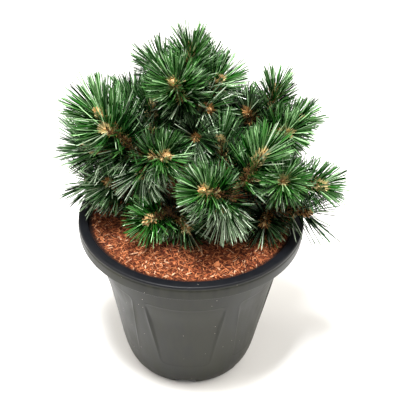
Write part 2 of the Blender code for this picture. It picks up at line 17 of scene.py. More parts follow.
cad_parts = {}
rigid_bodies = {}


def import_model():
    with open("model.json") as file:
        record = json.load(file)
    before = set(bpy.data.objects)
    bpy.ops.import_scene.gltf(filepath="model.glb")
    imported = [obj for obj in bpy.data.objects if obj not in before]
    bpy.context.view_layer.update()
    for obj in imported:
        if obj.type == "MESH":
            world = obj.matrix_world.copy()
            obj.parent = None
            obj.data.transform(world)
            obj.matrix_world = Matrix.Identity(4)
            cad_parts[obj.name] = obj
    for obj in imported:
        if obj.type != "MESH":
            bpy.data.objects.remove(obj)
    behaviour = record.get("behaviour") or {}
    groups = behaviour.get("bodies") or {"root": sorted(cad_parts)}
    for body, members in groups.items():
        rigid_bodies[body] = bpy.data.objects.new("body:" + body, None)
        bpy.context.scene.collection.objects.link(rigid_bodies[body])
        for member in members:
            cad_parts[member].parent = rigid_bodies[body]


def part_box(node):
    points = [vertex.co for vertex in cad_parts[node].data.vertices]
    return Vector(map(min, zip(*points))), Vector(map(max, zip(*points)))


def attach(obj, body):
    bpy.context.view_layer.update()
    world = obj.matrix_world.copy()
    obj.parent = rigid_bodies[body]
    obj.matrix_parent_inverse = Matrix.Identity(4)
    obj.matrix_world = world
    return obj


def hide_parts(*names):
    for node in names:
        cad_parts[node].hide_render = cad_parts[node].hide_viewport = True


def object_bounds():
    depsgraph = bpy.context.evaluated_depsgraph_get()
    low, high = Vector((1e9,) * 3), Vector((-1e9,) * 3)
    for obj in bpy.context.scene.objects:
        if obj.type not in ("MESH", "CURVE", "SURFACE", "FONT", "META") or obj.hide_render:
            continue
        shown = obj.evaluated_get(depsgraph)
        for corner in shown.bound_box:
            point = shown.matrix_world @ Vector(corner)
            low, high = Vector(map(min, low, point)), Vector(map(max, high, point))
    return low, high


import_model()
CAD_LOW, CAD_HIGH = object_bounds()

bl_info = {
    "name": "Potted Dwarf Pine",
    "version": (1, 0, 0),
    "blender": (4, 5, 0),
    "location": "3D View > Sidebar > Pine",
    "description": "Pot, mulch, bark, twigs, buds and needles of a potted dwarf pine",
    "category": "Add Mesh",
}

BODY = "root"
GOLDEN_TURN = math.pi * (3.0 - math.sqrt(5.0))

# The pot's sizes, from the frame where it holds them
POT_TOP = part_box("pot")[1].z
RIM_RADIUS = 0.150
LIP_RADIUS = 0.1360
LIP_DEPTH = 0.0070
WALL_TOP_RADIUS = 0.135
WALL_FOOT_RADIUS = 0.090
WALL_THICKNESS = 0.0045
FLOOR_THICKNESS = 0.014
FOOT_CORNER_HEIGHT = 0.032
FOOT_CORNER_INSET = 0.0072
FLARE_START = 0.212
SKIRT_HEIGHT = 0.020
SKIRT_THICKNESS = 0.0026
FLANGE_THICKNESS = 0.006
PANELS = 6
PANEL_TURN = math.radians(-2.3)
PANEL_BOTTOM = 0.045
PANEL_TOP = 0.175
PANEL_HALF_BOTTOM = math.radians(20.0)
PANEL_HALF_TOP = math.radians(25.9)
PANEL_CORNER = 0.010
CHANNEL_WIDTH = 0.029
CHANNEL_HEIGHT = 0.011
CHANNEL_INNER_RADIUS = 0.052
CHANNEL_OUTER_RADIUS = 0.100
CHANNEL_ROUNDING = 0.0015
HOLE_RADIUS = 0.006
HOLE_PITCH_RADIUS = 0.064
HOLE_SIDES = 24

# Columns over a panel: across its edge in widths of the edge, then over its field and to the next panel
EDGE_STEPS = (-0.7, -0.4, -0.2, 0.0, 0.2, 0.4, 0.6, 0.8, 1.0, 1.5)
FIELD_COLUMNS = 9
PILASTER_COLUMNS = 5

# How a panel's depth grows up from its foot and fades out below its top, and how wide its bead is
PANEL_GROWTH = 1.6
PANEL_FADE = 0.88
PANEL_FADE_START = 0.70
PANEL_FADE_SPAN = 0.28
BEAD_WIDTH = 0.6

# Rings up the wall: how many round the foot, between the panels' ends and over them, and steps at those ends
FOOT_RINGS = 9
PANEL_RINGS = 11
BAND_RINGS = 5
PANEL_END_STEPS = (-0.001, 0.0, 0.0006, 0.0012, 0.0018, 0.0024, 0.0036, 0.0055, 0.0078, 0.010)

# The pot's plastic: gloss, streaky mottling, where the darker rim (clean, with a painted reflection of the
# dark plant) starts below its top, specks and grain
POT_ROUGHNESS = 0.42
POT_ROUGHNESS_SPAN = (0.36, 0.50)
POT_SPECULAR = 0.18
WALL_STRETCH = (1.0, 1.0, 0.22)
WALL_DARKER = 0.72
WALL_LIGHTER = (1.55, 1.45, 1.30)
WALL_MOTTLE = {"Coarse_Scale": 26.0, "Fine_Scale": 120.0, "Fine_Share": 0.35}
CLEAN_SHADED_RIM = (0.24, 0.05)
SPECKS = {"Scale": 170.0, "Size": 0.10, "Rarity": 0.90}
SPECK_COLOUR = (0.34, 0.31, 0.26, 1.0)
GRAIN_SCALE = 900.0
GRAIN_DEPTH = 0.00004

# The mulch's mound and its unevenness: the height and the scale of its swells and ripples
MULCH_EDGE = 0.2318
MULCH_TOP = 0.2345
MULCH_REACH = 0.1356
MULCH_SWELL = 0.0012
MULCH_SWELL_SCALE = 38.0
MULCH_RIPPLE = 0.0006
MULCH_RIPPLE_SCALE = 120.0
MULCH_GAP = 0.0004

# The mulch's painted shade: dark round the trunk under the foliage, with a ragged edge, and dark close under
# the rim
PAINTED_SHADE_CORE = 0.062
PAINTED_SHADE_REACH = 0.102
PAINTED_SHADE_DEPTH = 0.25
PAINTED_SHADE_RAGGED = 0.03
PAINTED_SHADE_RAGGED_SCALE = 45.0
RIM_SHADE = 0.12
RIM_SHADE_ENDS = (MULCH_REACH - 0.0070, MULCH_REACH - 0.0015)

# The limbs: where each ends in a knob of buds, and how each bough leaves the trunk
TRUNK_FOOT = Vector((0.001, 0.006, MULCH_TOP))
TRUNK_RADIUS = 0.0112
TRUNK_TIP_RADIUS = 0.0048
TRUNK_FLARE = ((0.0, 0.0165), (0.030, 0.0132), (0.085, TRUNK_RADIUS))
TRUNK_STEPS = (0.25, 0.45, 0.65, 0.82)
TRUNK_SWAY = Vector((0.004, -0.006, 0.0))
BOUGH_TIP_RADIUS = 0.0032
BOUGH_STEPS = (0.0, 0.22, 0.45, 0.68, 0.86)
ELBOW_SHARE = 0.55
KNOB_RADIUS = 0.0060
KNOB_NECK = 1.5
KNOB_APPROACH = 1.7
KNOB_PROFILE = ((-0.80, 0.66), (-0.25, 0.97), (0.35, 0.94), (0.85, 0.50))
KNOBS = {
    "crown": (-0.005, 0.030, 0.385),
    "left": (-0.060, -0.010, 0.325),
    "front": (0.048, -0.050, 0.300),
    "right_back": (0.090, 0.030, 0.345),
    "right": (0.115, -0.010, 0.298),
    "low_right": (0.103, -0.015, 0.262),
    "low_left": (-0.082, -0.008, 0.275),
    "low_front": (-0.028, -0.035, 0.265),
    "back_left": (-0.060, 0.070, 0.300),
    "back_right": (0.055, 0.080, 0.300),
}
BOUGHS = {
    "left": (0.292, 0.0054, 0.300),
    "front": (0.262, 0.0054, 0.272),
    "right_back": (0.303, 0.0052, 0.312),
    "right": (0.278, 0.0054, 0.284),
    "low_right": (0.2465, 0.0046, 0.250),
    "low_left": (0.254, 0.0046, 0.258),
    "low_front": (0.2475, 0.0044, 0.254),
    "back_left": (0.268, 0.0050, 0.276),
    "back_right": (0.262, 0.0050, 0.270),
}

# Shoots: seat (a knob, or a height up the trunk), azimuth and rise in degrees, length, needle length, colour
Shoot = namedtuple("Shoot", "seat azimuth rise length needle colour")
SHOOT_ROWS = {
    "crown_leader": ("crown", 85, 86, 0.085, 0.040, "green"),
    "crown_front": ("crown", -111, 47, 0.085, 0.045, "fresh"),
    "crown_right": ("crown", 0, 44, 0.060, 0.042, "green"),
    "crown_left_back": ("crown", 150, 43, 0.068, 0.044, "green"),
    "crown_right_back": ("crown", 62, 38, 0.062, 0.040, "green"),
    "crown_low_right": ("crown", -56, 18, 0.052, 0.038, "old"),
    "crown_back": ("crown", 100, -5, 0.060, 0.042, "old"),
    "mid_front": (0.343, -85, 32, 0.064, 0.040, "old"),
    "mid_left": (0.352, -165, 35, 0.060, 0.042, "old"),
    "mid_right": (0.334, -15, 40, 0.056, 0.040, "old"),
    "mid_back": (0.345, 105, 22, 0.066, 0.042, "old"),
    "left_out": ("left", -160, 55, 0.106, 0.054, "fresh"),
    "left_side": ("left", 178, 14, 0.084, 0.052, "green"),
    "left_upright": ("left", 50, 76, 0.082, 0.042, "green"),
    "left_back": ("left", 108, 44, 0.088, 0.045, "green"),
    "left_front": ("left", -56, 34, 0.074, 0.041, "fresh"),
    "left_low": ("left", -96, -20, 0.044, 0.042, "old"),
    "low_left_front": ("low_left", -133, 42, 0.050, 0.040, "old"),
    "low_left_side": ("low_left", 172, 10, 0.060, 0.046, "old"),
    "right_back_upright": ("right_back", 35, 76, 0.071, 0.036, "green"),
    "right_back_inner": ("right_back", -142, 54, 0.055, 0.036, "old"),
    "right_back_outer": ("right_back", 0, 25, 0.060, 0.037, "green"),
    "right_back_front": ("right_back", -62, 28, 0.066, 0.040, "fresh"),
    "right_back_low": ("right_back", -100, -15, 0.050, 0.038, "old"),
    "front_right": ("front", -15, 62, 0.086, 0.044, "fresh"),
    "front_upright": ("front", 128, 71, 0.080, 0.042, "green"),
    "front_left": ("front", -127, 36, 0.078, 0.043, "fresh"),
    "front_low": ("front", -118, -14, 0.040, 0.047, "old"),
    "right_out": ("right", -20, 7, 0.057, 0.039, "green"),
    "right_front": ("right", -95, 35, 0.068, 0.041, "fresh"),
    "right_rear": ("right", 105, 10, 0.046, 0.034, "old"),
    "low_right_out": ("low_right", -17, 3, 0.058, 0.054, "yellowed"),
    "low_right_front": ("low_right", -105, 0, 0.045, 0.036, "old"),
    "low_front_left": ("low_front", -133, 8, 0.047, 0.039, "fresh"),
    "low_front_right": ("low_front", -45, -8, 0.042, 0.034, "yellowed"),
    "low_front_pale": ("low_front", 172, 14, 0.040, 0.032, "yellowed"),
    "back_left_out": ("back_left", 150, 32, 0.065, 0.044, "green"),
    "back_left_rear": ("back_left", 95, 25, 0.065, 0.042, "green"),
    "back_left_low": ("back_left", 190, -8, 0.055, 0.042, "old"),
    "back_right_out": ("back_right", 20, 15, 0.055, 0.040, "green"),
    "back_right_rear": ("back_right", 75, 25, 0.065, 0.042, "green"),
    "back_right_up": ("back_right", 120, 45, 0.055, 0.036, "green"),
}
SHOOTS = {name: Shoot(*row) for name, row in SHOOT_ROWS.items()}
STEM_SEAT = 0.6

# How needles stand on a shoot: shares of its stem, degrees from it, and spreads of turn, length and width
NEEDLE_START = 0.12
LEAN_LOW = 74.0
LEAN_FALL = 1.7
LEAN_HIGH = {"fresh": 31.0, "green": 23.0, "old": 36.0, "yellowed": 34.0}
LEAN_SPREAD = 8.0
CROWDING = 0.78
TOP_LENGTH = 1.02
TURN_SPREAD = 0.25
LENGTH_SPREAD = (0.88, 1.08)
WIDTH_SPREAD = (0.85, 1.15)
PAIR_SPREAD = (0.04, 0.14)
CURL_SPREAD = (0.0, 0.07)
PAIR_BOW = 0.02
NEEDLE_SEAT = 0.7
BUD_COVER = 0.72

# Needles part off a shoot's outer side, so that its twig lies bare there
BARE_SIDE = (0.0, 0.81, 0.59)
BARE_MIDDLE = 0.03
BARE_HALF = math.radians(8.0)
PARTED_HALF = math.radians(85.0)

# Shed needles on that side leave their sheaths as stubs: how far round, how high, how many and how long
STUB_FACING = 0.40
STUB_BELOW = 0.90
STUB_SHARE = 0.82
STUB_LENGTH = (0.0060, 0.0105)
STUB_SHEATH = 0.90
STUB_TONES = (0.38, 0.86)

# Stems grown shorter than their solids, and shoots that end in a small bud
SHORT_STEMS = {"front_low": 0.5, "left_low": 0.5}
SMALL_BUDS = {
    "right_back_front": 0.3,
    "right_back_inner": 0.5,
    "right_front": 0.45,
    "right_out": 0.3,
    "front_right": 0.5,
    "front_upright": 0.5,
    "front_low": 0.4,
    "left_low": 0.4,
    "left_upright": 0.6,
    "mid_front": 0.4,
    "mid_left": 0.5,
    "mid_right": 0.5,
}

# Old needles shed low on a shoot
SHED_BELOW = 0.72
SHED_SHARE = 0.30

# Side twigs: spans along the shoot and of lean in degrees, then shares of the shoot's own measures
TWIG_SPAN = (0.15, 0.55)
TWIG_LEAN = (20.0, 28.0)
TWIG_LENGTH = 0.36
TWIG_GIRTH = 0.72
TWIG_NEEDLE = 0.86
TWIG_DENSITY = 0.45
TWIG_BUD = 0.45
TWIG_CLEARANCE = 0.012

# Old wood that still holds needles: its stretches of a limb, and the needles' length and density
OLD_STRETCHES = 8
OLD_FROM = 4
OLD_FROM_LOW = 5
OLD_NEEDLE = 0.038
OLD_DENSITY = 0.5
LOW_BOUGHS = ("low_front", "low_right", "low_left")

# Room that needles keep from the mulch, the rim, the solids' box, limbs and other shoots' axes
FLOOR_GAP = 0.0015
RIM_GAP = 0.003
BOX_GAP = 0.0008
LIMB_GAP = 0.0008
SHOOT_SHARE = 0.36
SHOOT_SLACK = 0.002
FIT_SHARES = (0.3, 0.45, 0.6, 0.75, 0.9, 1.0)
FIT_CUT = 0.15
FIT_SHORTEST = 0.5
FIT_BATCH = 4000

# Needle tones in linear light: three for the outer faces, common, a pale painted highlight and a near-black
# painted shade, then the paler inner face
NEEDLE_TONES = {
    "fresh": ((0.019, 0.130, 0.011), (0.430, 0.740, 0.340), (0.001, 0.014, 0.0005), (0.066, 0.185, 0.042)),
    "green": ((0.008, 0.062, 0.007), (0.380, 0.620, 0.320), (0.0003, 0.005, 0.0003), (0.042, 0.110, 0.030)),
    # The deep tones are painted shade for needles low on shoots and inside the crown
    "deep": ((0.002, 0.016, 0.002), (0.052, 0.100, 0.042), (0.001, 0.003, 0.001), (0.014, 0.036, 0.010)),
    "silver": ((0.033, 0.092, 0.026), (0.560, 0.680, 0.500), (0.001, 0.006, 0.001), (0.270, 0.370, 0.230)),
    "yellowed": ((0.160, 0.190, 0.055), (0.240, 0.270, 0.095), (0.045, 0.085, 0.020), (0.24, 0.27, 0.13)),
}
SHEATH_TONES = {"cream": (0.76, 0.64, 0.33), "tan": (0.50, 0.28, 0.11), "brown": (0.060, 0.028, 0.012)}
NEEDLE_SLOTS = {"fresh": "fresh", "green": "green", "deep": "green", "silver": "old", "yellowed": "yellowed"}

# How far needles of a colour turn up from where their stem points them
UPWARD_TURN = {"fresh": 0.22, "green": 0.18, "old": -0.06, "yellowed": 0.05}

# Shoots whose needles aren't dealt by their colour but by a family of tones; the inner family, mostly the
# near-black deep tone, is painted shade inside the crown
SPRAY_FAMILIES = {
    "crown_leader": "fresh",
    "crown_right": "fresh",
    "right_back_upright": "fresh",
    "low_right_front": "inner",
    "mid_front": "inner",
    "mid_left": "inner",
    "mid_right": "inner",
    "right_back_inner": "inner",
    "right_back_low": "inner",
    "right_rear": "inner",
    "low_front_left": "bright",
    "front_low": "pale",
    "crown_low_right": "pale",
    "left_low": "pale",
    "right_out": "sunny",
    "right_front": "sunny",
    "right_back_front": "sunny",
    "right_back_outer": "sunny",
    "low_right_out": "inner",
}

# Shoots that hold more or fewer needles than the rest
FULLNESS = {
    "low_right_out": 0.5,
    "crown_low_right": 0.7,
    "low_front_pale": 0.6,
    "left_out": 1.2,
    "left_side": 1.15,
    "front_low": 2.8,
    "left_low": 2.2,
}

# The share of a family's hanging needles that show their silver side
PALE_BELOW = {
    "inner": 0.20,
    "pale": 0.85,
    "bright": 0.0,
    "sunny": 0.4,
    "fresh": 0.75,
    "green": 0.6,
    "old": 0.45,
    "yellowed": 0.1,
}

# The share of each needle tone on a shoot's upper and lower half, in the order of NEEDLE_TONES
TONE_SHARES = {
    "inner": ((0.00, 0.18, 0.76, 0.06, 0.00), (0.00, 0.06, 0.88, 0.06, 0.00)),
    "pale": ((0.20, 0.12, 0.02, 0.66, 0.00), (0.10, 0.14, 0.10, 0.66, 0.00)),
    "sunny": ((0.72, 0.20, 0.02, 0.06, 0.00), (0.34, 0.40, 0.20, 0.06, 0.00)),
    "bright": ((0.88, 0.04, 0.00, 0.00, 0.08), (0.78, 0.12, 0.00, 0.00, 0.10)),
    "fresh": ((0.70, 0.20, 0.00, 0.10, 0.00), (0.16, 0.46, 0.28, 0.10, 0.00)),
    "green": ((0.20, 0.56, 0.16, 0.08, 0.00), (0.00, 0.38, 0.52, 0.10, 0.00)),
    "old": ((0.00, 0.48, 0.32, 0.20, 0.00), (0.00, 0.28, 0.56, 0.16, 0.00)),
    "yellowed": ((0.10, 0.36, 0.26, 0.12, 0.16), (0.00, 0.24, 0.44, 0.10, 0.22)),
}

# Spans that are drawn from for each needle: where the upper half starts, how far an axis has to sink to
# hang, how high the tan sheaths start, and how high the shaded stretch reaches
HALF_SPAN = (0.35, 0.65)
HANGING_SPAN = (-0.30, 0.05)
TAN_SPAN = (0.0, 0.6)
DIM_SPAN = (0.55, 0.85)

# Young needles, high on a shoot that isn't old, have longer cream sheaths
YOUNG_ABOVE = 0.68
OLD_FAMILIES = ("inner", "old", "pale")
YOUNG_SHEATH = (0.008, 0.012)
OLD_SHEATH = (0.0045, 0.0085)

# Matt surfaces: where their mottling turns from dark to light, and their gloss
MOTTLE_ENDS = (0.36, 0.64)
MATT_SPECULAR = 0.3

# A needle's gloss, from no wax to full wax
NEEDLE_ROUGHNESS = (0.75, 0.40)
NEEDLE_SPECULAR = 0.5
COAT_ROUGHNESS = 0.20

# The photograph's camera: how far and how high it stands, and its lens
CAMERA_ELEVATION = math.radians(36.07)
CAMERA_ROLL = math.radians(1.35)
CAMERA_DISTANCE = 1.10
CAMERA_TARGET = Vector((0.0112, 0.0, 0.2582))
SENSOR_WIDTH = 36.0
FOCAL_SHARE = 835.2 / 400.0


def blend(low, high, share):
    """The value that lies a share of the way from low to high."""
    return low + (high - low) * share


def smooth_step(share):
    """A share eased in and out, held between nothing and one."""
    held = np.clip(share, 0.0, 1.0)
    return held * held * (3.0 - 2.0 * held)


def seeded(name):
    """Random numbers that are the same for a name in every run."""
    return np.random.default_rng(list(name.encode()))


def unit(rows):
    """Vectors in rows, each made one long."""
    return rows / np.linalg.norm(rows, axis=1, keepdims=True)


def shade(colour, share):
    """A colour with each of its parts multiplied by a share."""
    return tuple(share * value for value in colour)


def link(item):
    """Puts an object in the scene and returns it."""
    bpy.context.scene.collection.objects.link(item)
    return item


def new_collection(name, meshes):
    """A collection of its own with an object for each mesh."""
    group = bpy.data.collections.new(name)
    bpy.context.scene.collection.children.link(group)
    for mesh in meshes:
        group.objects.link(bpy.data.objects.new(mesh.name, mesh))
    return group


def remove_collection(group):
    """Removes a collection and the objects in it."""
    for item in list(group.objects):
        bpy.data.objects.remove(item)
    bpy.data.collections.remove(group)


def mesh_from(name, bm):
    """A mesh of what a bmesh holds, which is then freed."""
    mesh = bpy.data.meshes.new(name)
    bm.to_mesh(mesh)
    bm.free()
    return mesh


def evaluated_mesh(piece):
    """A plain mesh of an object after its modifiers, which are then removed."""
    bpy.context.view_layer.update()
    evaluated = piece.evaluated_get(bpy.context.evaluated_depsgraph_get())
    mesh = bpy.data.meshes.new_from_object(evaluated)
    piece.modifiers.clear()
    return mesh


def run_nodes(name, mesh, group, values):
    """Runs a geometry tree with its named values on a mesh, and returns the result as a plain mesh."""
    carrier = link(bpy.data.objects.new(name, mesh))
    modifier = carrier.modifiers.new(name, "NODES")
    modifier.node_group = group
    for item in group.interface.items_tree:
        if item.in_out == "INPUT" and item.name in values:
            modifier[item.identifier] = values[item.name]
    result = evaluated_mesh(carrier)
    bpy.data.objects.remove(carrier)
    return result


def make_mesh(name, points, face_sets, slot_sets=None):
    """A mesh from points and arrays of triangles or quads, with a material slot for each face."""
    corners = np.concatenate([faces.ravel() for faces in face_sets])
    widths = np.concatenate([np.full(len(faces), faces.shape[1]) for faces in face_sets])
    mesh = bpy.data.meshes.new(name)
    mesh.vertices.add(len(points))
    mesh.vertices.foreach_set("co", np.asarray(points, np.float32).ravel())
    mesh.loops.add(len(corners))
    mesh.loops.foreach_set("vertex_index", corners.astype(np.int32))
    mesh.polygons.add(len(widths))
    mesh.polygons.foreach_set("loop_start", (np.cumsum(widths) - widths).astype(np.int32))
    if slot_sets is not None:
        mesh.polygons.foreach_set("material_index", np.concatenate(slot_sets).astype(np.int32))
    mesh.update(calc_edges=True)
    mesh.validate()
    return mesh


def add_piece(name, mesh, materials, smooth=None):
    """Puts a mesh in the scene as an object at the origin, with its materials and shading."""
    piece = link(bpy.data.objects.new(name, mesh))
    slots = np.zeros(len(mesh.polygons), np.int32)
    mesh.polygons.foreach_get("material_index", slots)
    mesh.materials.clear()
    for material in materials:
        mesh.materials.append(material)
    mesh.polygons.foreach_set("material_index", slots)
    if smooth is not None:
        mesh.shade_smooth()
        mesh.set_sharp_from_angle(angle=math.radians(smooth))
    return piece


def dress(piece, nodes):
    """The piece rides on the plant's one body and stands for these solids, which are hidden."""
    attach(piece, BODY)
    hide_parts(*nodes)


def cross_frame(headings):
    """Two vectors for each heading that make a right-handed frame with it."""
    helper = np.where(np.abs(headings[:, 2:3]) < 0.9, [[0.0, 0.0, 1.0]], [[1.0, 0.0, 0.0]])
    first = unit(np.cross(helper, headings))
    return first, np.cross(headings, first)


def stem_frame(start, tip):
    """A stem's own vector, its length, its heading and two directions across it."""
    stem = tip - start
    length = np.linalg.norm(stem)
    heading = stem / length
    side, other = (axis[0] for axis in cross_frame(heading[None]))
    return stem, length, heading, side, other


def ring_faces(count, width):
    """Quads between rings of points, each ring closed on itself."""
    ring = np.arange(width)
    after = (ring + 1) % width
    start = (np.arange(count - 1) * width)[:, None]
    corners = [start + ring, start + after, start + width + after, start + width + ring]
    return np.stack(corners, axis=-1).reshape(-1, 4)


def fan(ring_start, width, centre, upward):
    """Triangles that close a ring at a centre point."""
    ring = ring_start + np.arange(width)
    after = ring_start + (np.arange(width) + 1) % width
    middle = np.full(width, centre)
    return np.stack([middle, ring, after] if upward else [middle, after, ring], axis=-1)


def closed_faces(count, width):
    """Quads between rings, and the fans that close the first and last ring at two last points."""
    foot = fan(0, width, count * width, False)
    top = fan((count - 1) * width, width, count * width + 1, True)
    return ring_faces(count, width), np.vstack([foot, top])


# Growth of the limbs


def knob_end(centre, heading, neck_radius):
    """Points and radii that end a limb in a rounded knob about the centre."""
    points = [centre - heading * KNOB_NECK * KNOB_RADIUS]
    radii = [neck_radius]
    for step, swell in KNOB_PROFILE:
        points.append(centre + heading * step * KNOB_RADIUS)
        radii.append(swell * KNOB_RADIUS)
    return points, radii


def trunk_path():
    """Points and radii of the trunk, from its flat foot to the crown's knob."""
    knob = Vector(KNOBS["crown"])
    taper = [(share, blend(TRUNK_RADIUS, TRUNK_TIP_RADIUS, share)) for share in TRUNK_STEPS]
    points = []
    radii = []
    for share, radius in list(TRUNK_FLARE) + taper:
        points.append(TRUNK_FOOT.lerp(knob, share) + TRUNK_SWAY * math.sin(share * math.pi))
        radii.append(radius)
    heading = (knob - points[-1]).normalized()
    knob_points, knob_radii = knob_end(knob, heading, TRUNK_TIP_RADIUS)
    return points + knob_points, radii + knob_radii


def trunk_point(height):
    """The point of the trunk's axis at a height."""
    points, _ = trunk_path()
    for low, high in zip(points, points[1:]):
        if low.z <= height <= high.z:
            return low.lerp(high, (height - low.z) / (high.z - low.z))
    raise ValueError("the height is off the trunk")


def bough_path(name):
    """Points and radii of a bough, from the trunk's axis past an elbow to its knob."""
    height, radius, elbow_height = BOUGHS[name]
    start = trunk_point(height)
    knob = Vector(KNOBS[name])
    elbow = start.lerp(knob, ELBOW_SHARE)
    elbow.z = elbow_height
    points = []
    radii = []
    for share in BOUGH_STEPS:
        point = start.lerp(elbow, share).lerp(elbow.lerp(knob, share), share)
        if (point - knob).length > KNOB_APPROACH * KNOB_RADIUS:
            points.append(point)
            radii.append(blend(radius, BOUGH_TIP_RADIUS, share))
    heading = (knob - elbow).normalized()
    knob_points, knob_radii = knob_end(knob, heading, BOUGH_TIP_RADIUS)
    return points + knob_points, radii + knob_radii


def heading_of(azimuth, rise):
    """The unit vector of an azimuth and a rise in degrees."""
    azimuth = math.radians(azimuth)
    rise = math.radians(rise)
    level = math.cos(rise)
    return Vector((math.cos(azimuth) * level, math.sin(azimuth) * level, math.sin(rise)))


def shoot_axis(name):
    """The ends of a shoot's stem on its axis: by what carries it, and the bud's tip."""
    shoot = SHOOTS[name]
    heading = heading_of(shoot.azimuth, shoot.rise)
    if shoot.seat in KNOBS:
        centre = Vector(KNOBS[shoot.seat])
        clear = KNOB_RADIUS
    else:
        centre = trunk_point(shoot.seat)
        clear = TRUNK_RADIUS
    return centre + heading * clear * STEM_SEAT, centre + heading * shoot.length


def smooth_path(points, radii, count):
    """A path and its radii read evenly from a smooth curve through the points."""
    places = np.array(points, float)
    ends = np.vstack([2.0 * places[0] - places[1], places, 2.0 * places[-1] - places[-2]])
    lengths = np.linalg.norm(np.diff(places, axis=0), axis=1)
    marks = np.concatenate([[0.0], np.cumsum(lengths)])
    wanted = np.linspace(0.0, marks[-1], count)
    span = np.clip(np.searchsorted(marks, wanted, side="right") - 1, 0, len(lengths) - 1)
    t = ((wanted - marks[span]) / lengths[span])[:, None]
    a, b, c, d = (ends[span + i] for i in range(4))
    curve = 0.5 * (
        2.0 * b
        + (c - a) * t
        + (2.0 * a - 5.0 * b + 4.0 * c - d) * t**2
        + (3.0 * b - a - 3.0 * c + d) * t**3
    )
    return curve, np.interp(wanted, marks, radii)


def tube(path, radii, sides, relief=None):
    """Points and faces of a closed round limb. Relief gives how far each surface point is pushed out."""
    headings = unit(np.gradient(path, axis=0))
    first = cross_frame(headings[:1])[0][0]
    turns = np.arange(sides) * math.tau / sides
    rings = []
    for centre, heading, radius in zip(path, headings, radii):
        first = first - heading * first.dot(heading)
        first /= np.linalg.norm(first)
        second = np.cross(heading, first)
        spokes = np.outer(np.cos(turns), first) + np.outer(np.sin(turns), second)
        rings.append((centre + spokes * radius, spokes))
    surface = np.concatenate([ring for ring, _ in rings])
    spokes = np.concatenate([spoke for _, spoke in rings])
    if relief is not None:
        surface = surface + spokes * relief(surface)[:, None]
    return np.vstack([surface, path[:1], path[-1:]]), *closed_faces(len(path), sides)


def join_shapes(shapes):
    """Joins several (points, quads, triangles) into one."""
    offsets = np.cumsum([0] + [len(points) for points, _, _ in shapes])
    points = np.vstack([shape[0] for shape in shapes])
    quads = np.vstack([shape[1] + offset for shape, offset in zip(shapes, offsets)])
    triangles = np.vstack([shape[2] + offset for shape, offset in zip(shapes, offsets)])
    return points, quads, triangles


# Node trees and materials


class Tree:
    """A node tree that is filled by short calls."""

    def __init__(self, owner):
        self.nodes = owner.nodes
        self.links = owner.links

    def add(self, kind, settings=None, **inputs):
        """Adds a node, sets its properties and feeds its inputs with values or other sockets."""
        node = self.nodes.new(kind)
        for key, value in (settings or {}).items():
            setattr(node, key, value)
        for key, value in inputs.items():
            self.feed(node.inputs[key.replace("_", " ")], value)
        return node

    def feed(self, socket, value):
        """Links a socket to another, or gives it a plain value."""
        if isinstance(value, bpy.types.NodeSocket):
            self.links.new(value, socket)
        else:
            socket.default_value = value

    def feed_from(self, node, first, *values):
        """Feeds a node's inputs in their order, from the one with this number on."""
        for number, value in enumerate(values, first):
            self.feed(node.inputs[number], value)
        return node

    def math(self, operation, *values):
        """The result of a math node."""
        node = self.add("ShaderNodeMath", {"operation": operation})
        return self.feed_from(node, 0, *values).outputs[0]

    def stretch(self, vector, factors):
        """A vector multiplied by a factor along each axis."""
        node = self.add("ShaderNodeVectorMath", {"operation": "MULTIPLY"})
        return self.feed_from(node, 0, vector, factors).outputs[0]

    def mix(self, share, low, high):
        """Two colours mixed by a share."""
        node = self.add("ShaderNodeMix", {"data_type": "RGBA"})
        self.feed(node.inputs[0], share)
        return self.feed_from(node, 6, low, high).outputs[2]

    def ramp(self, value, ends, results=(0.0, 1.0), easing="SMOOTHSTEP"):
        """A value between two ends, eased over to lie between two results."""
        node = self.add("ShaderNodeMapRange", {"interpolation_type": easing}, Value=value)
        for label, number in zip(("From Min", "From Max", "To Min", "To Max"), (*ends, *results)):
            self.feed(node.inputs[label], number)
        return node.outputs["Result"]

    def random(self, kind, low, high, seed):
        """Random numbers or vectors between two others."""
        first, result = {"FLOAT_VECTOR": (0, 0), "FLOAT": (2, 1)}[kind]
        node = self.add("FunctionNodeRandomValue", {"data_type": kind}, Seed=seed)
        return self.feed_from(node, first, low, high).outputs[result]


def new_material(name, colour, roughness, specular):
    """A Principled material, the tree that it is finished in and its shader."""
    material = bpy.data.materials.new(name)
    material.use_nodes = True
    material.diffuse_color = (*colour, 1.0)
    shader = material.node_tree.nodes["Principled BSDF"]
    shader.inputs["Base Color"].default_value = (*colour, 1.0)
    shader.inputs["Roughness"].default_value = roughness
    shader.inputs["Specular IOR Level"].default_value = specular
    return material, Tree(material.node_tree), shader


def new_group(name, kind, inputs, outputs):
    """An empty group with named inputs and outputs, its tree, and the sockets at its start and end."""
    group = bpy.data.node_groups.new(name, kind)
    for label, socket_type, value in inputs:
        socket = group.interface.new_socket(name=label, in_out="INPUT", socket_type=socket_type)
        if value is not None:
            socket.default_value = value
    for label, socket_type in outputs:
        group.interface.new_socket(name=label, in_out="OUTPUT", socket_type=socket_type)
    tree = Tree(group)
    return group, tree, tree.add("NodeGroupInput").outputs, tree.add("NodeGroupOutput").inputs


def realized(tree, instances, material):
    """The socket of instances made real, with their material set."""
    real = tree.add("GeometryNodeRealizeInstances", Geometry=instances.outputs["Instances"])
    finish = tree.add("GeometryNodeSetMaterial", Geometry=real.outputs["Geometry"], Material=material)
    return finish.outputs["Geometry"]


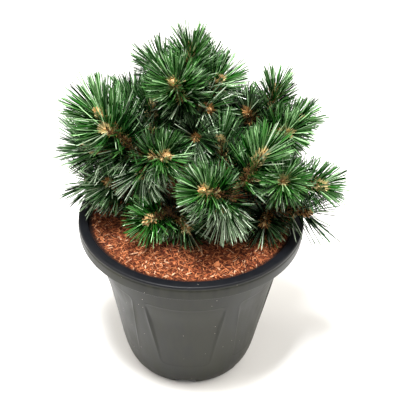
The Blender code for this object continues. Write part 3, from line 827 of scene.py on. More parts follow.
def mottle_group():
    """Two sizes of mottling between a dark and a light colour, and the height that goes with it."""
    name = "Mottle"
    if name in bpy.data.node_groups:
        return bpy.data.node_groups[name]
    group, tree, given, result = new_group(
        name,
        "ShaderNodeTree",
        [
            ("Vector", "NodeSocketVector", (0.0, 0.0, 0.0)),
            ("Dark", "NodeSocketColor", (0.1, 0.1, 0.1, 1.0)),
            ("Light", "NodeSocketColor", (0.5, 0.5, 0.5, 1.0)),
            ("Coarse Scale", "NodeSocketFloat", 60.0),
            ("Fine Scale", "NodeSocketFloat", 400.0),
            ("Fine Share", "NodeSocketFloat", 0.4),
        ],
        [("Color", "NodeSocketColor"), ("Mask", "NodeSocketFloat")],
    )
    place = given["Vector"]
    coarse = tree.add("ShaderNodeTexNoise", Vector=place, Scale=given["Coarse Scale"], Detail=3.0)
    fine = tree.add("ShaderNodeTexNoise", Vector=place, Scale=given["Fine Scale"], Detail=2.0)
    mixed = tree.add("ShaderNodeMix", {"data_type": "FLOAT"})
    tree.feed(mixed.inputs[0], given["Fine Share"])
    tree.feed_from(mixed, 2, coarse.outputs["Fac"], fine.outputs["Fac"])
    mask = tree.ramp(mixed.outputs[0], MOTTLE_ENDS)
    tree.feed(result["Mask"], mask)
    tree.feed(result["Color"], tree.mix(mask, given["Dark"], given["Light"]))
    return group


def speck_group():
    """Small scattered specks: whether each point lies inside one."""
    name = "Specks"
    if name in bpy.data.node_groups:
        return bpy.data.node_groups[name]
    group, tree, given, result = new_group(
        name,
        "ShaderNodeTree",
        [
            ("Vector", "NodeSocketVector", (0.0, 0.0, 0.0)),
            ("Scale", "NodeSocketFloat", 150.0),
            ("Size", "NodeSocketFloat", 0.12),
            ("Rarity", "NodeSocketFloat", 0.8),
        ],
        [("Mask", "NodeSocketFloat")],
    )
    cells = tree.add("ShaderNodeTexVoronoi", Vector=given["Vector"], Scale=given["Scale"])
    near = tree.math("LESS_THAN", cells.outputs["Distance"], given["Size"])
    split = tree.add("ShaderNodeSeparateColor", Color=cells.outputs["Color"])
    rare = tree.math("GREATER_THAN", split.outputs["Red"], given["Rarity"])
    tree.feed(result["Mask"], tree.math("MULTIPLY", near, rare))
    return group


def painted_shade_group():
    """Painted shade on the mulch: darkens a colour round an upright axis, under the foliage, and close under
    the rim.
    """
    name = "Damp"
    if name in bpy.data.node_groups:
        return bpy.data.node_groups[name]
    group, tree, given, result = new_group(
        name,
        "ShaderNodeTree",
        [
            ("Vector", "NodeSocketVector", (0.0, 0.0, 0.0)),
            ("Color", "NodeSocketColor", (0.5, 0.5, 0.5, 1.0)),
            ("Depth", "NodeSocketFloat", PAINTED_SHADE_DEPTH),
        ],
        [("Color", "NodeSocketColor")],
    )
    reach = tree.add("ShaderNodeVectorMath", {"operation": "LENGTH"})
    tree.feed(reach.inputs[0], tree.stretch(given["Vector"], (1.0, 1.0, 0.0)))
    ragged = tree.add("ShaderNodeTexNoise", Vector=given["Vector"], Scale=PAINTED_SHADE_RAGGED_SCALE, Detail=2.0)
    edge = tree.math("MULTIPLY_ADD", ragged.outputs["Fac"], PAINTED_SHADE_RAGGED, reach.outputs["Value"])
    damp = tree.ramp(edge, (PAINTED_SHADE_CORE, PAINTED_SHADE_REACH), (given["Depth"], 1.0))
    # Painted shade in a ring close under the rim
    rim = tree.ramp(reach.outputs["Value"], RIM_SHADE_ENDS, (1.0, RIM_SHADE))
    shaded = tree.add("ShaderNodeVectorMath", {"operation": "SCALE"}, Scale=tree.math("MULTIPLY", damp, rim))
    tree.feed(shaded.inputs[0], given["Color"])
    tree.feed(result["Color"], shaded.outputs[0])
    return group


def place_group(tree, group, **inputs):
    """Places a shared group in a material's tree with its own values."""
    return tree.add("ShaderNodeGroup", {"node_tree": group}, **inputs)


def object_place(tree):
    """The socket with a surface point's place on the piece."""
    return tree.add("ShaderNodeTexCoord").outputs["Object"]


def add_bump(tree, shader, height, distance):
    """Feeds a height into the shader's normal."""
    bump = tree.add("ShaderNodeBump", Height=height, Distance=distance, Strength=1.0)
    tree.feed(shader.inputs["Normal"], bump.outputs["Normal"])


def mottled_material(name, dark, light, coarse, fine, roughness, bump, damp=False):
    """A matt natural surface, mottled between two colours, with relief to match."""
    material, tree, shader = new_material(name, light, roughness, MATT_SPECULAR)
    place = object_place(tree)
    mottle = place_group(
        tree,
        mottle_group(),
        Vector=place,
        Dark=(*dark, 1.0),
        Light=(*light, 1.0),
        Coarse_Scale=coarse,
        Fine_Scale=fine,
    )
    colour = mottle.outputs["Color"]
    # Painted shade of the foliage round the trunk and of the rim, laid over the mottle
    if damp:
        colour = place_group(tree, painted_shade_group(), Vector=place, Color=colour).outputs["Color"]
    tree.feed(shader.inputs["Base Color"], colour)
    add_bump(tree, shader, mottle.outputs["Mask"], bump)
    return material


def pot_material(settings):
    """Moulded plastic: dark round the rim, clean and with a painted reflection of the dark plant, dusty grey
    down the wall, with a few pale specks.
    """
    wall = settings.wall_colour
    material, tree, shader = new_material("pot_plastic", wall, POT_ROUGHNESS, POT_SPECULAR)
    place = object_place(tree)
    mottle = place_group(
        tree,
        mottle_group(),
        Vector=tree.stretch(place, WALL_STRETCH),
        Dark=(*shade(wall, WALL_DARKER), 1.0),
        Light=(*[share * value for share, value in zip(WALL_LIGHTER, wall)], 1.0),
        **WALL_MOTTLE,
    )
    axes = tree.add("ShaderNodeSeparateXYZ", Vector=place)
    # The rim's colour: clean plastic, darkened as a painted reflection of the dark plant above it
    rim_clean_and_shaded = tree.ramp(axes.outputs["Z"], [POT_TOP - share * SKIRT_HEIGHT for share in CLEAN_SHADED_RIM])
    tint = tree.mix(rim_clean_and_shaded, mottle.outputs["Color"], (*settings.rim_colour, 1.0))
    specks = place_group(tree, speck_group(), Vector=place, **SPECKS)
    tree.feed(shader.inputs["Base Color"], tree.mix(specks.outputs["Mask"], tint, SPECK_COLOUR))
    rough = tree.ramp(mottle.outputs["Mask"], (0.0, 1.0), POT_ROUGHNESS_SPAN, "LINEAR")
    tree.feed(shader.inputs["Roughness"], rough)
    grain = tree.add("ShaderNodeTexNoise", Vector=place, Scale=GRAIN_SCALE, Detail=2.0)
    add_bump(tree, shader, grain.outputs["Fac"], GRAIN_DEPTH)
    return material


def needle_material(name, colour, wax):
    """A needle face in one plain tone, as each spray is dealt its own, with more or less wax."""
    material, _, shader = new_material(name, colour, blend(*NEEDLE_ROUGHNESS, wax), NEEDLE_SPECULAR * wax)
    shader.inputs["Coat Weight"].default_value = wax
    shader.inputs["Coat Roughness"].default_value = COAT_ROUGHNESS
    return material


# The pot


def wall_radius(z):
    """Outer radius of the pot's plain wall, with its rounded foot."""
    cone = blend(WALL_FOOT_RADIUS, WALL_TOP_RADIUS, z / POT_TOP)
    drop = max(0.0, 1.0 - z / FOOT_CORNER_HEIGHT)
    return cone - FOOT_CORNER_INSET * (1.0 - math.sqrt(1.0 - drop * drop))


def panel_half(z):
    """Half the angle that a panel spans at a height."""
    share = (z - PANEL_BOTTOM) / (PANEL_TOP - PANEL_BOTTOM)
    return blend(PANEL_HALF_BOTTOM, PANEL_HALF_TOP, min(max(share, 0.0), 1.0))


def corner_rounding(z):
    """How far a panel's side has turned in towards its middle at a height, by its round corners."""
    drop = max(PANEL_CORNER - (z - PANEL_BOTTOM), PANEL_CORNER - (PANEL_TOP - z), 0.0)
    drop = min(drop, PANEL_CORNER)
    return PANEL_CORNER - math.sqrt(PANEL_CORNER**2 - drop**2)


def panel_depths(settings, sides, half_width, z):
    """Depth of the panel's field at distances from its middle, eased in over the panel's edge."""
    share = (z - PANEL_BOTTOM) / (PANEL_TOP - PANEL_BOTTOM)
    if not 0.0 < share < 1.0:
        return np.zeros(len(sides))
    across = np.abs(sides) - (half_width - PANEL_CORNER)
    along = max(PANEL_BOTTOM + PANEL_CORNER - z, z - PANEL_TOP + PANEL_CORNER)
    corner = np.hypot(np.maximum(across, 0.0), max(along, 0.0))
    inside = PANEL_CORNER - corner - np.minimum(np.maximum(across, along), 0.0)
    grown = min(PANEL_GROWTH * share, 1.0)
    depth = blend(settings.panel_depth_foot, settings.panel_depth_top, grown)
    ease = 1.0 - PANEL_FADE * smooth_step((share - PANEL_FADE_START) / PANEL_FADE_SPAN)
    bead = settings.panel_bead * grown * np.exp(-((inside / (BEAD_WIDTH * settings.panel_edge)) ** 2))
    return ease * (depth * smooth_step(inside / settings.panel_edge) - bead)


def round_points(turns, reach, z):
    """Points at turns round the upright axis, the front first, all at one height."""
    return np.stack([reach * np.sin(turns), -reach * np.cos(turns), np.full(len(turns), z)], axis=-1)


def pot_ring(settings, radius, z, panelled=False):
    """One ring of the pot, with its columns gathered at the panels' edges."""
    half_width = panel_half(z) * radius
    edge = half_width - corner_rounding(z)
    quarter = math.pi / PANELS * radius
    steps = np.array(EDGE_STEPS) * settings.panel_edge
    field = np.linspace(0.0, 1.0, FIELD_COLUMNS)[:-1] * (edge - steps[-1])
    pilaster = blend(edge - steps[0], quarter, np.linspace(0.0, 1.0, PILASTER_COLUMNS)[1:])
    right = np.concatenate([field, edge - steps[::-1], pilaster])
    sides = np.concatenate([-right[:0:-1], right[:-1]])
    depths = panel_depths(settings, sides, half_width, z) if panelled else np.zeros(len(sides))
    turns = [PANEL_TURN + panel * math.tau / PANELS + sides / radius for panel in range(PANELS)]
    return np.vstack([round_points(angles, radius - depths, z) for angles in turns])


def rounded_profile(corners, steps=5):
    """A profile of (radius, height, rounding) corners, each round one replaced by a short curve."""
    points = []
    for i, (radius, z, rounding) in enumerate(corners):
        here = np.array([radius, z])
        if rounding == 0.0:
            points.append(here)
            continue
        before = np.array(corners[i - 1][:2]) - here
        after = np.array(corners[i + 1][:2]) - here
        enter = here + before / np.linalg.norm(before) * rounding
        leave = here + after / np.linalg.norm(after) * rounding
        for t in np.linspace(0.0, 1.0, steps):
            points.append((1.0 - t) ** 2 * enter + 2.0 * t * (1.0 - t) * here + t**2 * leave)
    return points


def rim_profile(settings):
    """The flare, the hollow skirt, the rolled flange and the lip, from the wall round to the inside."""
    ceiling = POT_TOP - FLANGE_THICKNESS
    skirt_foot = POT_TOP - SKIRT_HEIGHT
    roll = settings.rim_roll
    return rounded_profile(
        [
            (wall_radius(FLARE_START), FLARE_START, 0.0),
            (LIP_RADIUS + WALL_THICKNESS, ceiling, 0.0015),
            (RIM_RADIUS - SKIRT_THICKNESS, ceiling, 0.0010),
            (RIM_RADIUS - SKIRT_THICKNESS, skirt_foot, 0.0008),
            (RIM_RADIUS - 0.0008, skirt_foot, 0.0012),
            (RIM_RADIUS, POT_TOP - 0.0062, 0.0010),
            (RIM_RADIUS - 0.0008, POT_TOP - 0.0046, 0.0006),
            (RIM_RADIUS - 0.0002, POT_TOP, roll),
            (RIM_RADIUS - 0.0130, POT_TOP, 0.0012),
            (LIP_RADIUS, POT_TOP - LIP_DEPTH, 0.0010),
            (wall_radius(FLARE_START) - WALL_THICKNESS, FLARE_START, 0.0),
        ]
    )


def wall_heights():
    """Heights of the rings up the wall, close together at the foot and at the panels' ends."""
    foot = FOOT_CORNER_HEIGHT * (1.0 - np.cos(np.linspace(0.0, math.pi / 2.0, FOOT_RINGS)))
    near = np.array(PANEL_END_STEPS)
    low = PANEL_BOTTOM + near
    high = PANEL_TOP - near[::-1]
    middle = np.linspace(low[-1], high[0], PANEL_RINGS)[1:-1]
    band = np.linspace(high[-1], FLARE_START, BAND_RINGS)[1:-1]
    return np.concatenate([foot, low, middle, high, band])


def drainage_cutters():
    """A soft-cornered block for each channel and a plug for each hole under the pot."""
    length = CHANNEL_OUTER_RADIUS - CHANNEL_INNER_RADIUS
    middle = (CHANNEL_OUTER_RADIUS + CHANNEL_INNER_RADIUS) / 2.0
    block = (CHANNEL_WIDTH, length, 2.0 * CHANNEL_HEIGHT)
    plug = {"radius1": HOLE_RADIUS, "radius2": HOLE_RADIUS, "depth": 3.0 * FLOOR_THICKNESS}
    cutters = []
    for panel in range(PANELS):
        turn = PANEL_TURN + panel * math.tau / PANELS
        outward = Vector((math.sin(turn), -math.cos(turn), 0.0))
        bm = bmesh.new()
        bmesh.ops.create_cube(bm, size=1.0)
        bmesh.ops.scale(bm, vec=block, verts=bm.verts)
        bmesh.ops.bevel(
            bm, geom=bm.edges[:], offset=CHANNEL_ROUNDING, segments=2, affect="EDGES", profile=0.5
        )
        bmesh.ops.rotate(bm, matrix=Matrix.Rotation(turn, 3, "Z"), verts=bm.verts)
        bmesh.ops.translate(bm, vec=outward * middle, verts=bm.verts)
        cutters.append(mesh_from("drainage", bm))
        bm = bmesh.new()
        bmesh.ops.create_cone(bm, cap_ends=True, segments=HOLE_SIDES, **plug)
        bmesh.ops.translate(bm, vec=outward * HOLE_PITCH_RADIUS, verts=bm.verts)
        cutters.append(mesh_from("drainage", bm))
    return new_collection("drainage", cutters)


def cut_drainage(pot):
    """Cuts the channels and holes out of the pot's foot, and removes the cutters."""
    group = drainage_cutters()
    cut = pot.modifiers.new("drainage", "BOOLEAN")
    cut.operation = "DIFFERENCE"
    cut.solver = "EXACT"
    cut.operand_type = "COLLECTION"
    cut.collection = group
    pot.data = evaluated_mesh(pot)
    remove_collection(group)


def inner_radius(z):
    """Radius of the pot's plain inside at a height below its flare."""
    return blend(WALL_FOOT_RADIUS, WALL_TOP_RADIUS, z / POT_TOP) - WALL_THICKNESS


def closed_mesh(name, rings):
    """A mesh of rings that run from a closed foot to a closed top."""
    points = np.vstack(rings + [rings[0].mean(0), rings[-1].mean(0)])
    return make_mesh(name, points, closed_faces(len(rings), len(rings[0])))


def pot_mesh(settings):
    """The pot's wall, rim and inside as one closed shell."""
    rings = [pot_ring(settings, wall_radius(z), z, panelled=True) for z in wall_heights()]
    rings += [pot_ring(settings, radius, z) for radius, z in rim_profile(settings)]
    rings.append(pot_ring(settings, inner_radius(FLOOR_THICKNESS), FLOOR_THICKNESS))
    return closed_mesh("pot_shell", rings)


class PotSettings(bpy.types.PropertyGroup):
    """Sizes and colours of the pot"""

    panel_depth_top: FloatProperty(
        name="Panel depth at top",
        description="How deep the panels lie at their top",
        default=0.0022,
        unit="LENGTH",
    )
    panel_depth_foot: FloatProperty(
        name="Panel depth at foot",
        description="How deep the panels lie at their foot",
        default=0.0001,
        unit="LENGTH",
    )
    panel_edge: FloatProperty(
        name="Panel edge", description="Width of the eased edge round a panel", default=0.0034, unit="LENGTH"
    )
    panel_bead: FloatProperty(
        name="Panel bead",
        description="Height of the soft bead along a panel's edge",
        default=0.0008,
        unit="LENGTH",
    )
    rim_roll: FloatProperty(
        name="Rim roll", description="Rounding of the rolled rim", default=0.0032, unit="LENGTH"
    )
    wall_colour: FloatVectorProperty(
        name="Wall colour",
        description="Dusty plastic of the wall",
        subtype="COLOR",
        default=(0.0152, 0.0165, 0.0130),
    )
    # Clean plastic of the rim, darkened as a painted reflection of the dark plant above it
    rim_colour: FloatVectorProperty(
        name="Rim colour",
        description="Clean plastic of the rim",
        subtype="COLOR",
        default=(0.0045, 0.0050, 0.0070),
    )


class PINE_OT_pot(bpy.types.Operator):
    """Makes the pot with its panels, rim and drainage"""

    bl_idname = "pine.pot"
    bl_label = "Pot"

    def execute(self, context):
        settings = context.scene.pine_pot
        pot = add_piece("pot_shell", pot_mesh(settings), [pot_material(settings)])
        cut_drainage(pot)
        pot.data.shade_smooth()
        pot.data.set_sharp_from_angle(angle=math.radians(35.0))
        dress(pot, ["pot"])
        return {"FINISHED"}


# The mulch

# Its bed and the surface that the chips are strewn on: columns, rings and the radius of the innermost
BED_COLUMNS = 144
BED_RINGS = 34
BED_CORE = 0.004
STREWN_COLUMNS = 72
STREWN_RINGS = 26
STREWN_CORE = 0.002
# The chips stop this far short of the mulch's edge, so that the darker bed shows there as painted shade under
# the rim
STREWN_GAP = 0.0040

# A torn chip: corners, how ragged its outline is, its warp, top and crown, then its sizes in chip lengths
CHIP_SIDES = 7
CHIP_REACH = (0.75, 1.1)
CHIP_WARP = 0.3
CHIP_TOP = 0.86
CHIP_CROWN = 0.2
CHIP_SIZES = (
    (1.0, 0.23, 0.10),
    (0.75, 0.27, 0.12),
    (1.5, 0.15, 0.09),
    (1.1, 0.19, 0.10),
    (1.8, 0.11, 0.08),
)

# Fibres and fallen needles: their bow, the widths along them, and each kind's length and thickness
FIBRE_KINDS = 3
FIBRE_SIDES = 3
FIBRE_BOW = (0.1, 0.3)
FIBRE_WIDTHS = (0.25, 0.9, 1.0, 0.8, 0.2)
FIBRE_SIZE = (0.011, 0.00035)
LITTER_SIZE = (0.030, 0.00055)

# What is strewn: piece, colour, shapes, density setting and its share, and how high the topmost lie
STREWN = (
    ("rust", "rust", "chips", "chip_density", 1.25, 0.0010),
    ("dark", "dark", "chips", "chip_density", 0.75, 0.0016),
    ("orange", "orange", "chips", "chip_density", 1.15, 0.0014),
    ("pale", "pale", "chips", "chip_density", 0.42, 0.0017),
    ("fibre", "orange", "fibres", "fibre_density", 1.0, 0.0022),
    ("litter", "dark", "litter", "litter_density", 1.0, 0.0030),
)
STREWN_SIZES = (0.55, 1.25)
STREWN_TILT = 0.55

# Single chips that lie on the rest: tone, spot, turn in degrees, then length, width and thickness
STRAYS = (
    ("mulch_big_chip", "orange", (0.034, -0.102), 75.0, (0.0110, 0.0085, 0.0016)),
    ("mulch_splinter", "pale", (0.015, -0.078), 94.0, (0.0220, 0.0014, 0.0009)),
    ("mulch_splinter_left", "pale", (-0.070, -0.085), 20.0, (0.0150, 0.0018, 0.0009)),
)
STRAY_LIFT = 0.0022
STRAY_TILT = math.radians(12.0)

# Mottled finishes: coarse and fine scale, roughness and relief
BED_FINISH = (160.0, 700.0, 0.95, 0.0012)
CHIP_FINISH = (220.0, 900.0, 0.85, 0.0003)
CHIP_SHADE = 0.62
# The bed is darker than the chips; in the bare ring under the rim it is painted shade
BED_SHADES = (0.3, 0.5)


def mulch_height(x, y):
    """Height of the mulch's uneven mound."""
    reach = math.hypot(x, y) / MULCH_REACH
    swell = MULCH_SWELL * noise.noise(Vector((x, y, 0.0)) * MULCH_SWELL_SCALE)
    swell += MULCH_RIPPLE * noise.noise(Vector((x, y, 3.0)) * MULCH_RIPPLE_SCALE)
    return blend(MULCH_TOP, MULCH_EDGE, reach**2) + swell * min(1.0, 4.0 - 4.0 * reach)


def mulch_ring(radius, columns):
    """One ring of the mound's surface."""
    ring = []
    for turn in np.arange(columns) * math.tau / columns:
        x = radius * math.sin(turn)
        y = -radius * math.cos(turn)
        ring.append((x, y, mulch_height(x, y)))
    return np.array(ring)


def mulch_bed_mesh():
    """The mix under the chips: a closed fill of the pot with an uneven top."""
    turns = np.arange(BED_COLUMNS) * math.tau / BED_COLUMNS
    profile = [
        (inner_radius(FLOOR_THICKNESS) - MULCH_GAP, FLOOR_THICKNESS + MULCH_GAP),
        (wall_radius(FLARE_START) - WALL_THICKNESS - MULCH_GAP, FLARE_START),
    ]
    rings = [round_points(turns, radius, z) for radius, z in profile]
    radii = np.linspace(MULCH_REACH, BED_CORE, BED_RINGS)
    rings += [mulch_ring(radius, BED_COLUMNS) for radius in radii]
    return closed_mesh("mulch_bed", rings)


def chip_mesh(name, rng, length, width, thickness):
    """One torn chip: a flat, uneven slab with pointed ends."""
    outline = []
    for turn in np.arange(CHIP_SIDES) * math.tau / CHIP_SIDES:
        reach = rng.uniform(*CHIP_REACH)
        outline.append((math.cos(turn) * length / 2 * reach, math.sin(turn) * width / 2 * reach))
    outline = np.array(outline)
    lift = rng.uniform(-CHIP_WARP, CHIP_WARP, CHIP_SIDES) * thickness
    top = np.column_stack([outline * CHIP_TOP, lift + thickness / 2])
    foot = np.column_stack([outline, lift - thickness / 2])
    points = np.vstack([foot, top, foot.mean(0), top.mean(0) + (0.0, 0.0, CHIP_CROWN * thickness)])
    return make_mesh(name, points, closed_faces(2, CHIP_SIDES))


def fibre_mesh(name, rng, length, thickness):
    """One curved fibre, pointed at both ends."""
    bow = rng.uniform(*FIBRE_BOW) * length
    t = np.linspace(-1.0, 1.0, len(FIBRE_WIDTHS))
    sway = rng.uniform(-1.0, 1.0, len(t)) * thickness
    path = np.column_stack([t * length / 2, bow * (1.0 - t**2) - bow / 2, sway])
    points, *faces = tube(path, thickness * np.array(FIBRE_WIDTHS), FIBRE_SIDES)
    return make_mesh(name, points, faces)


def scatter_tree():
    """Geometry nodes that strew the shapes of a collection over a surface, turned and sized at random."""
    name = "Strew Chips"
    if name in bpy.data.node_groups:
        return bpy.data.node_groups[name]
    group, tree, given, result = new_group(
        name,
        "GeometryNodeTree",
        [
            ("Surface", "NodeSocketGeometry", None),
            ("Shapes", "NodeSocketCollection", None),
            ("Density", "NodeSocketFloat", 1000.0),
            ("Smallest", "NodeSocketFloat", 0.7),
            ("Largest", "NodeSocketFloat", 1.3),
            ("Tilt", "NodeSocketFloat", 0.5),
            ("Lift", "NodeSocketFloat", 0.0),
            ("Seed", "NodeSocketInt", 0),
            ("Material", "NodeSocketMaterial", None),
        ],
        [("Chips", "NodeSocketGeometry")],
    )
    tilt, seed = given["Tilt"], given["Seed"]
    points = tree.add(
        "GeometryNodeDistributePointsOnFaces", Mesh=given["Surface"], Density=given["Density"], Seed=seed
    )
    tilt_down = tree.math("MULTIPLY", tilt, -1.0)
    low = tree.add("ShaderNodeCombineXYZ", X=tilt_down, Y=tilt_down, Z=0.0)
    high = tree.add("ShaderNodeCombineXYZ", X=tilt, Y=tilt, Z=math.tau)
    turn = tree.random("FLOAT_VECTOR", low.outputs[0], high.outputs[0], seed)
    rotation = tree.add("FunctionNodeEulerToRotation", Euler=turn)
    size = tree.random("FLOAT", given["Smallest"], given["Largest"], seed)
    lift = tree.random("FLOAT", 0.0, given["Lift"], seed)
    offset = tree.add("ShaderNodeCombineXYZ", X=0.0, Y=0.0, Z=lift)
    lifted = tree.add("GeometryNodeSetPosition", Geometry=points.outputs["Points"], Offset=offset.outputs[0])
    shapes = tree.add("GeometryNodeCollectionInfo", Collection=given["Shapes"])
    shapes.inputs["Separate Children"].default_value = True
    shapes.inputs["Reset Children"].default_value = True
    strewn = tree.add(
        "GeometryNodeInstanceOnPoints",
        Points=lifted.outputs["Geometry"],
        Instance=shapes.outputs[0],
        Rotation=rotation.outputs[0],
        Scale=size,
    )
    strewn.inputs["Pick Instance"].default_value = True
    tree.feed(result["Chips"], realized(tree, strewn, given["Material"]))
    return group


def mulch_surface():
    """The open top of the mulch that the chips are strewn on, short of the rim, so that the darker bed shows
    in a ring there as painted shade under the rim.
    """
    radii = np.linspace(MULCH_REACH - STREWN_GAP, STREWN_CORE, STREWN_RINGS)
    points = np.vstack([mulch_ring(radius, STREWN_COLUMNS) for radius in radii])
    return make_mesh("mulch_surface", points, [ring_faces(STREWN_RINGS, STREWN_COLUMNS)])


def chip_material(name, light, damp=False):
    """Torn bark in one colour, darker in its hollows."""
    return mottled_material(name, shade(light, CHIP_SHADE), light, *CHIP_FINISH, damp=damp)


class MulchSettings(bpy.types.PropertyGroup):
    """How the mulch is strewn, and its colours"""

    chip_length: FloatProperty(
        name="Chip length", description="Length of a common chip", default=0.0068, unit="LENGTH"
    )
    chip_density: FloatProperty(
        name="Chip density",
        description="Chips on a square metre, for each of the four tones",
        default=27000.0,
    )
    fibre_density: FloatProperty(
        name="Fibre density", description="Fibres on a square metre", default=22000.0
    )
    litter_density: FloatProperty(
        name="Litter density", description="Fallen needles on a square metre", default=2600.0
    )
    seed: IntProperty(name="Seed", description="Changes how the chips fall", default=7)
    pale: FloatVectorProperty(
        name="Pale chips", description="Fresh pale chips", subtype="COLOR", default=(0.74, 0.42, 0.25)
    )
    orange: FloatVectorProperty(
        name="Orange chips", description="Common orange chips", subtype="COLOR", default=(0.56, 0.195, 0.075)
    )
    rust: FloatVectorProperty(
        name="Rust chips", description="Red-brown chips", subtype="COLOR", default=(0.36, 0.092, 0.030)
    )
    dark: FloatVectorProperty(
        name="Dark chips", description="Wet dark chips", subtype="COLOR", default=(0.12, 0.020, 0.005)
    )


class PINE_OT_mulch_bed(bpy.types.Operator):
    """Makes the mix that fills the pot under the chips"""

    bl_idname = "pine.mulch_bed"
    bl_label = "Mulch bed"

    def execute(self, context):
        settings = context.scene.pine_mulch
        dark = shade(settings.dark, BED_SHADES[0])
        light = shade(settings.rust, BED_SHADES[1])
        material = mottled_material("mulch_bed", dark, light, *BED_FINISH, damp=True)
        bed = add_piece("mulch_bed", mulch_bed_mesh(), [material], smooth=40.0)
        dress(bed, ["potting_mix"])
        return {"FINISHED"}


class PINE_OT_mulch_chips(bpy.types.Operator):
    """Strews chips in four tones and fibres over the mulch"""

    bl_idname = "pine.mulch_chips"
    bl_label = "Mulch chips"

    def execute(self, context):
        settings = context.scene.pine_mulch
        rng = seeded("chips")
        length = settings.chip_length
        chips = [
            chip_mesh(f"chip_{i}", rng, *(length * share for share in shares))
            for i, shares in enumerate(CHIP_SIZES)
        ]
        fibres = [fibre_mesh(f"fibre_{i}", rng, *FIBRE_SIZE) for i in range(FIBRE_KINDS)]
        litter = [fibre_mesh(f"litter_{i}", rng, *LITTER_SIZE) for i in range(FIBRE_KINDS)]
        kinds = {"chips": chips, "fibres": fibres, "litter": litter}
        groups = {kind: new_collection(kind, meshes) for kind, meshes in kinds.items()}
        surface = mulch_surface()
        for number, (tone, colour, kind, density, share, lift) in enumerate(STREWN):
            name = "mulch_" + tone
            material = chip_material(name, getattr(settings, colour), damp=True)
            values = {
                "Shapes": groups[kind],
                "Density": getattr(settings, density) * share,
                "Smallest": STREWN_SIZES[0],
                "Largest": STREWN_SIZES[1],
                "Tilt": STREWN_TILT,
                "Lift": lift,
                "Seed": settings.seed + number,
                "Material": material,
            }
            mesh = run_nodes(name, surface, scatter_tree(), values)
            dress(add_piece(name, mesh, [material], smooth=30.0), ["potting_mix"])
        for name, colour, spot, turn, sizes in STRAYS:
            mesh = chip_mesh(name, rng, *sizes)
            place = Matrix.Translation((*spot, mulch_height(*spot) + STRAY_LIFT))
            turned = Matrix.Rotation(math.radians(turn), 4, "Z") @ Matrix.Rotation(STRAY_TILT, 4, "X")
            mesh.transform(place @ turned)
            material = chip_material(name, getattr(settings, colour))
            dress(add_piece(name, mesh, [material], smooth=30.0), ["potting_mix"])
        for group in groups.values():
            remove_collection(group)
        return {"FINISHED"}


# The bark

# Plates of bark: how long they are drawn out, how sharp their cracks are, their grain and their middle height
PLATE_STRETCH = 0.45
CRACK_SHARPNESS = 2.5
PLATE_GRAIN = 0.5
PLATE_GRAIN_SCALE = (2.3, 2.3, 1.4)
PLATE_MIDDLE = 0.6

# The limbs' rings and sides, the scale of their plates, and the finish: scales, roughness and relief
TRUNK_MESH = (150, 44, 190.0)
BOUGH_MESH = (64, 22, 330.0)
BARK_FINISH = (110.0, 600.0, 0.85, 0.0006)


def bark_relief(depth, scale):
    """How far scaly bark stands out at each point: plates parted by cracks."""

    def relief(points):
        heights = []
        for x, y, z in points * scale:
            near, _ = noise.voronoi((x, y, z * PLATE_STRETCH))
            plate = min((near[1] - near[0]) * CRACK_SHARPNESS, 1.0)
            grain = noise.noise([value * rate for value, rate in zip((x, y, z), PLATE_GRAIN_SCALE)])
            heights.append(plate + PLATE_GRAIN * grain)
        return (np.array(heights) - PLATE_MIDDLE) * depth

    return relief


class BarkSettings(bpy.types.PropertyGroup):
    """Relief and colours of the bark"""

    trunk_relief: FloatProperty(
        name="Trunk relief", description="Depth of the cracks on the trunk", default=0.0011, unit="LENGTH"
    )
    bough_relief: FloatProperty(
        name="Bough relief", description="Depth of the cracks on the boughs", default=0.0006, unit="LENGTH"
    )
    light: FloatVectorProperty(
        name="Light bark", description="Raised plates", subtype="COLOR", default=(0.21, 0.115, 0.062)
    )
    dark: FloatVectorProperty(
        name="Dark bark", description="Cracks and shade", subtype="COLOR", default=(0.040, 0.020, 0.011)
    )


class PINE_OT_bark(bpy.types.Operator):
    """Makes the trunk and boughs with scaly bark"""

    bl_idname = "pine.bark"
    bl_label = "Trunk and boughs"

    def execute(self, context):
        settings = context.scene.pine_bark
        limbs = [(trunk_path(), settings.trunk_relief, TRUNK_MESH)]
        limbs += [(bough_path(name), settings.bough_relief, BOUGH_MESH) for name in BOUGHS]
        shapes = []
        for limb, depth, (rings, sides, scale) in limbs:
            shapes.append(tube(*smooth_path(*limb, rings), sides, bark_relief(depth, scale)))
        points, *faces = join_shapes(shapes)
        material = mottled_material("bark", settings.dark, settings.light, *BARK_FINISH)
        bark = add_piece("bark", make_mesh("bark", points, faces), [material], smooth=60.0)
        dress(bark, ["trunk"] + ["bough_" + name for name in BOUGHS])
        return {"FINISHED"}


# Growth of the shoots

Growth = namedtuple("Growth", "name colour start tip radius needle density")


def grow_shoots(settings):
    """Every stem of the plant: the shoots, then the finer side twigs that branch from them."""
    grown = []
    for name, shoot in SHOOTS.items():
        start, tip = (np.array(end) for end in shoot_axis(name))
        tip = blend(start, tip, SHORT_STEMS.get(name, 1.0))
        fullness = FULLNESS.get(name, 1.0)
        grown.append(Growth(name, shoot.colour, start, tip, settings.shoot_radius, shoot.needle, fullness))
        rng = seeded(name + " twigs")
        stem, length, heading, side, other = stem_frame(start, tip)
        first = rng.uniform(0.0, math.tau)
        radius = TWIG_GIRTH * settings.shoot_radius
        twig = radius, TWIG_NEEDLE * shoot.needle, TWIG_DENSITY * fullness
        for i in range(settings.side_twigs):
            share = blend(*TWIG_SPAN, (i + 0.5) / settings.side_twigs)
            turn = first + i * GOLDEN_TURN
            lean = math.radians(rng.uniform(*TWIG_LEAN))
            outward = side * math.cos(turn) + other * math.sin(turn)
            root = start + stem * share
            end = root + (heading * math.cos(lean) + outward * math.sin(lean)) * TWIG_LENGTH * length
            if end[2] > MULCH_TOP + TWIG_CLEARANCE:
                grown.append(Growth(name, shoot.colour, root, end, *twig))
    return grown


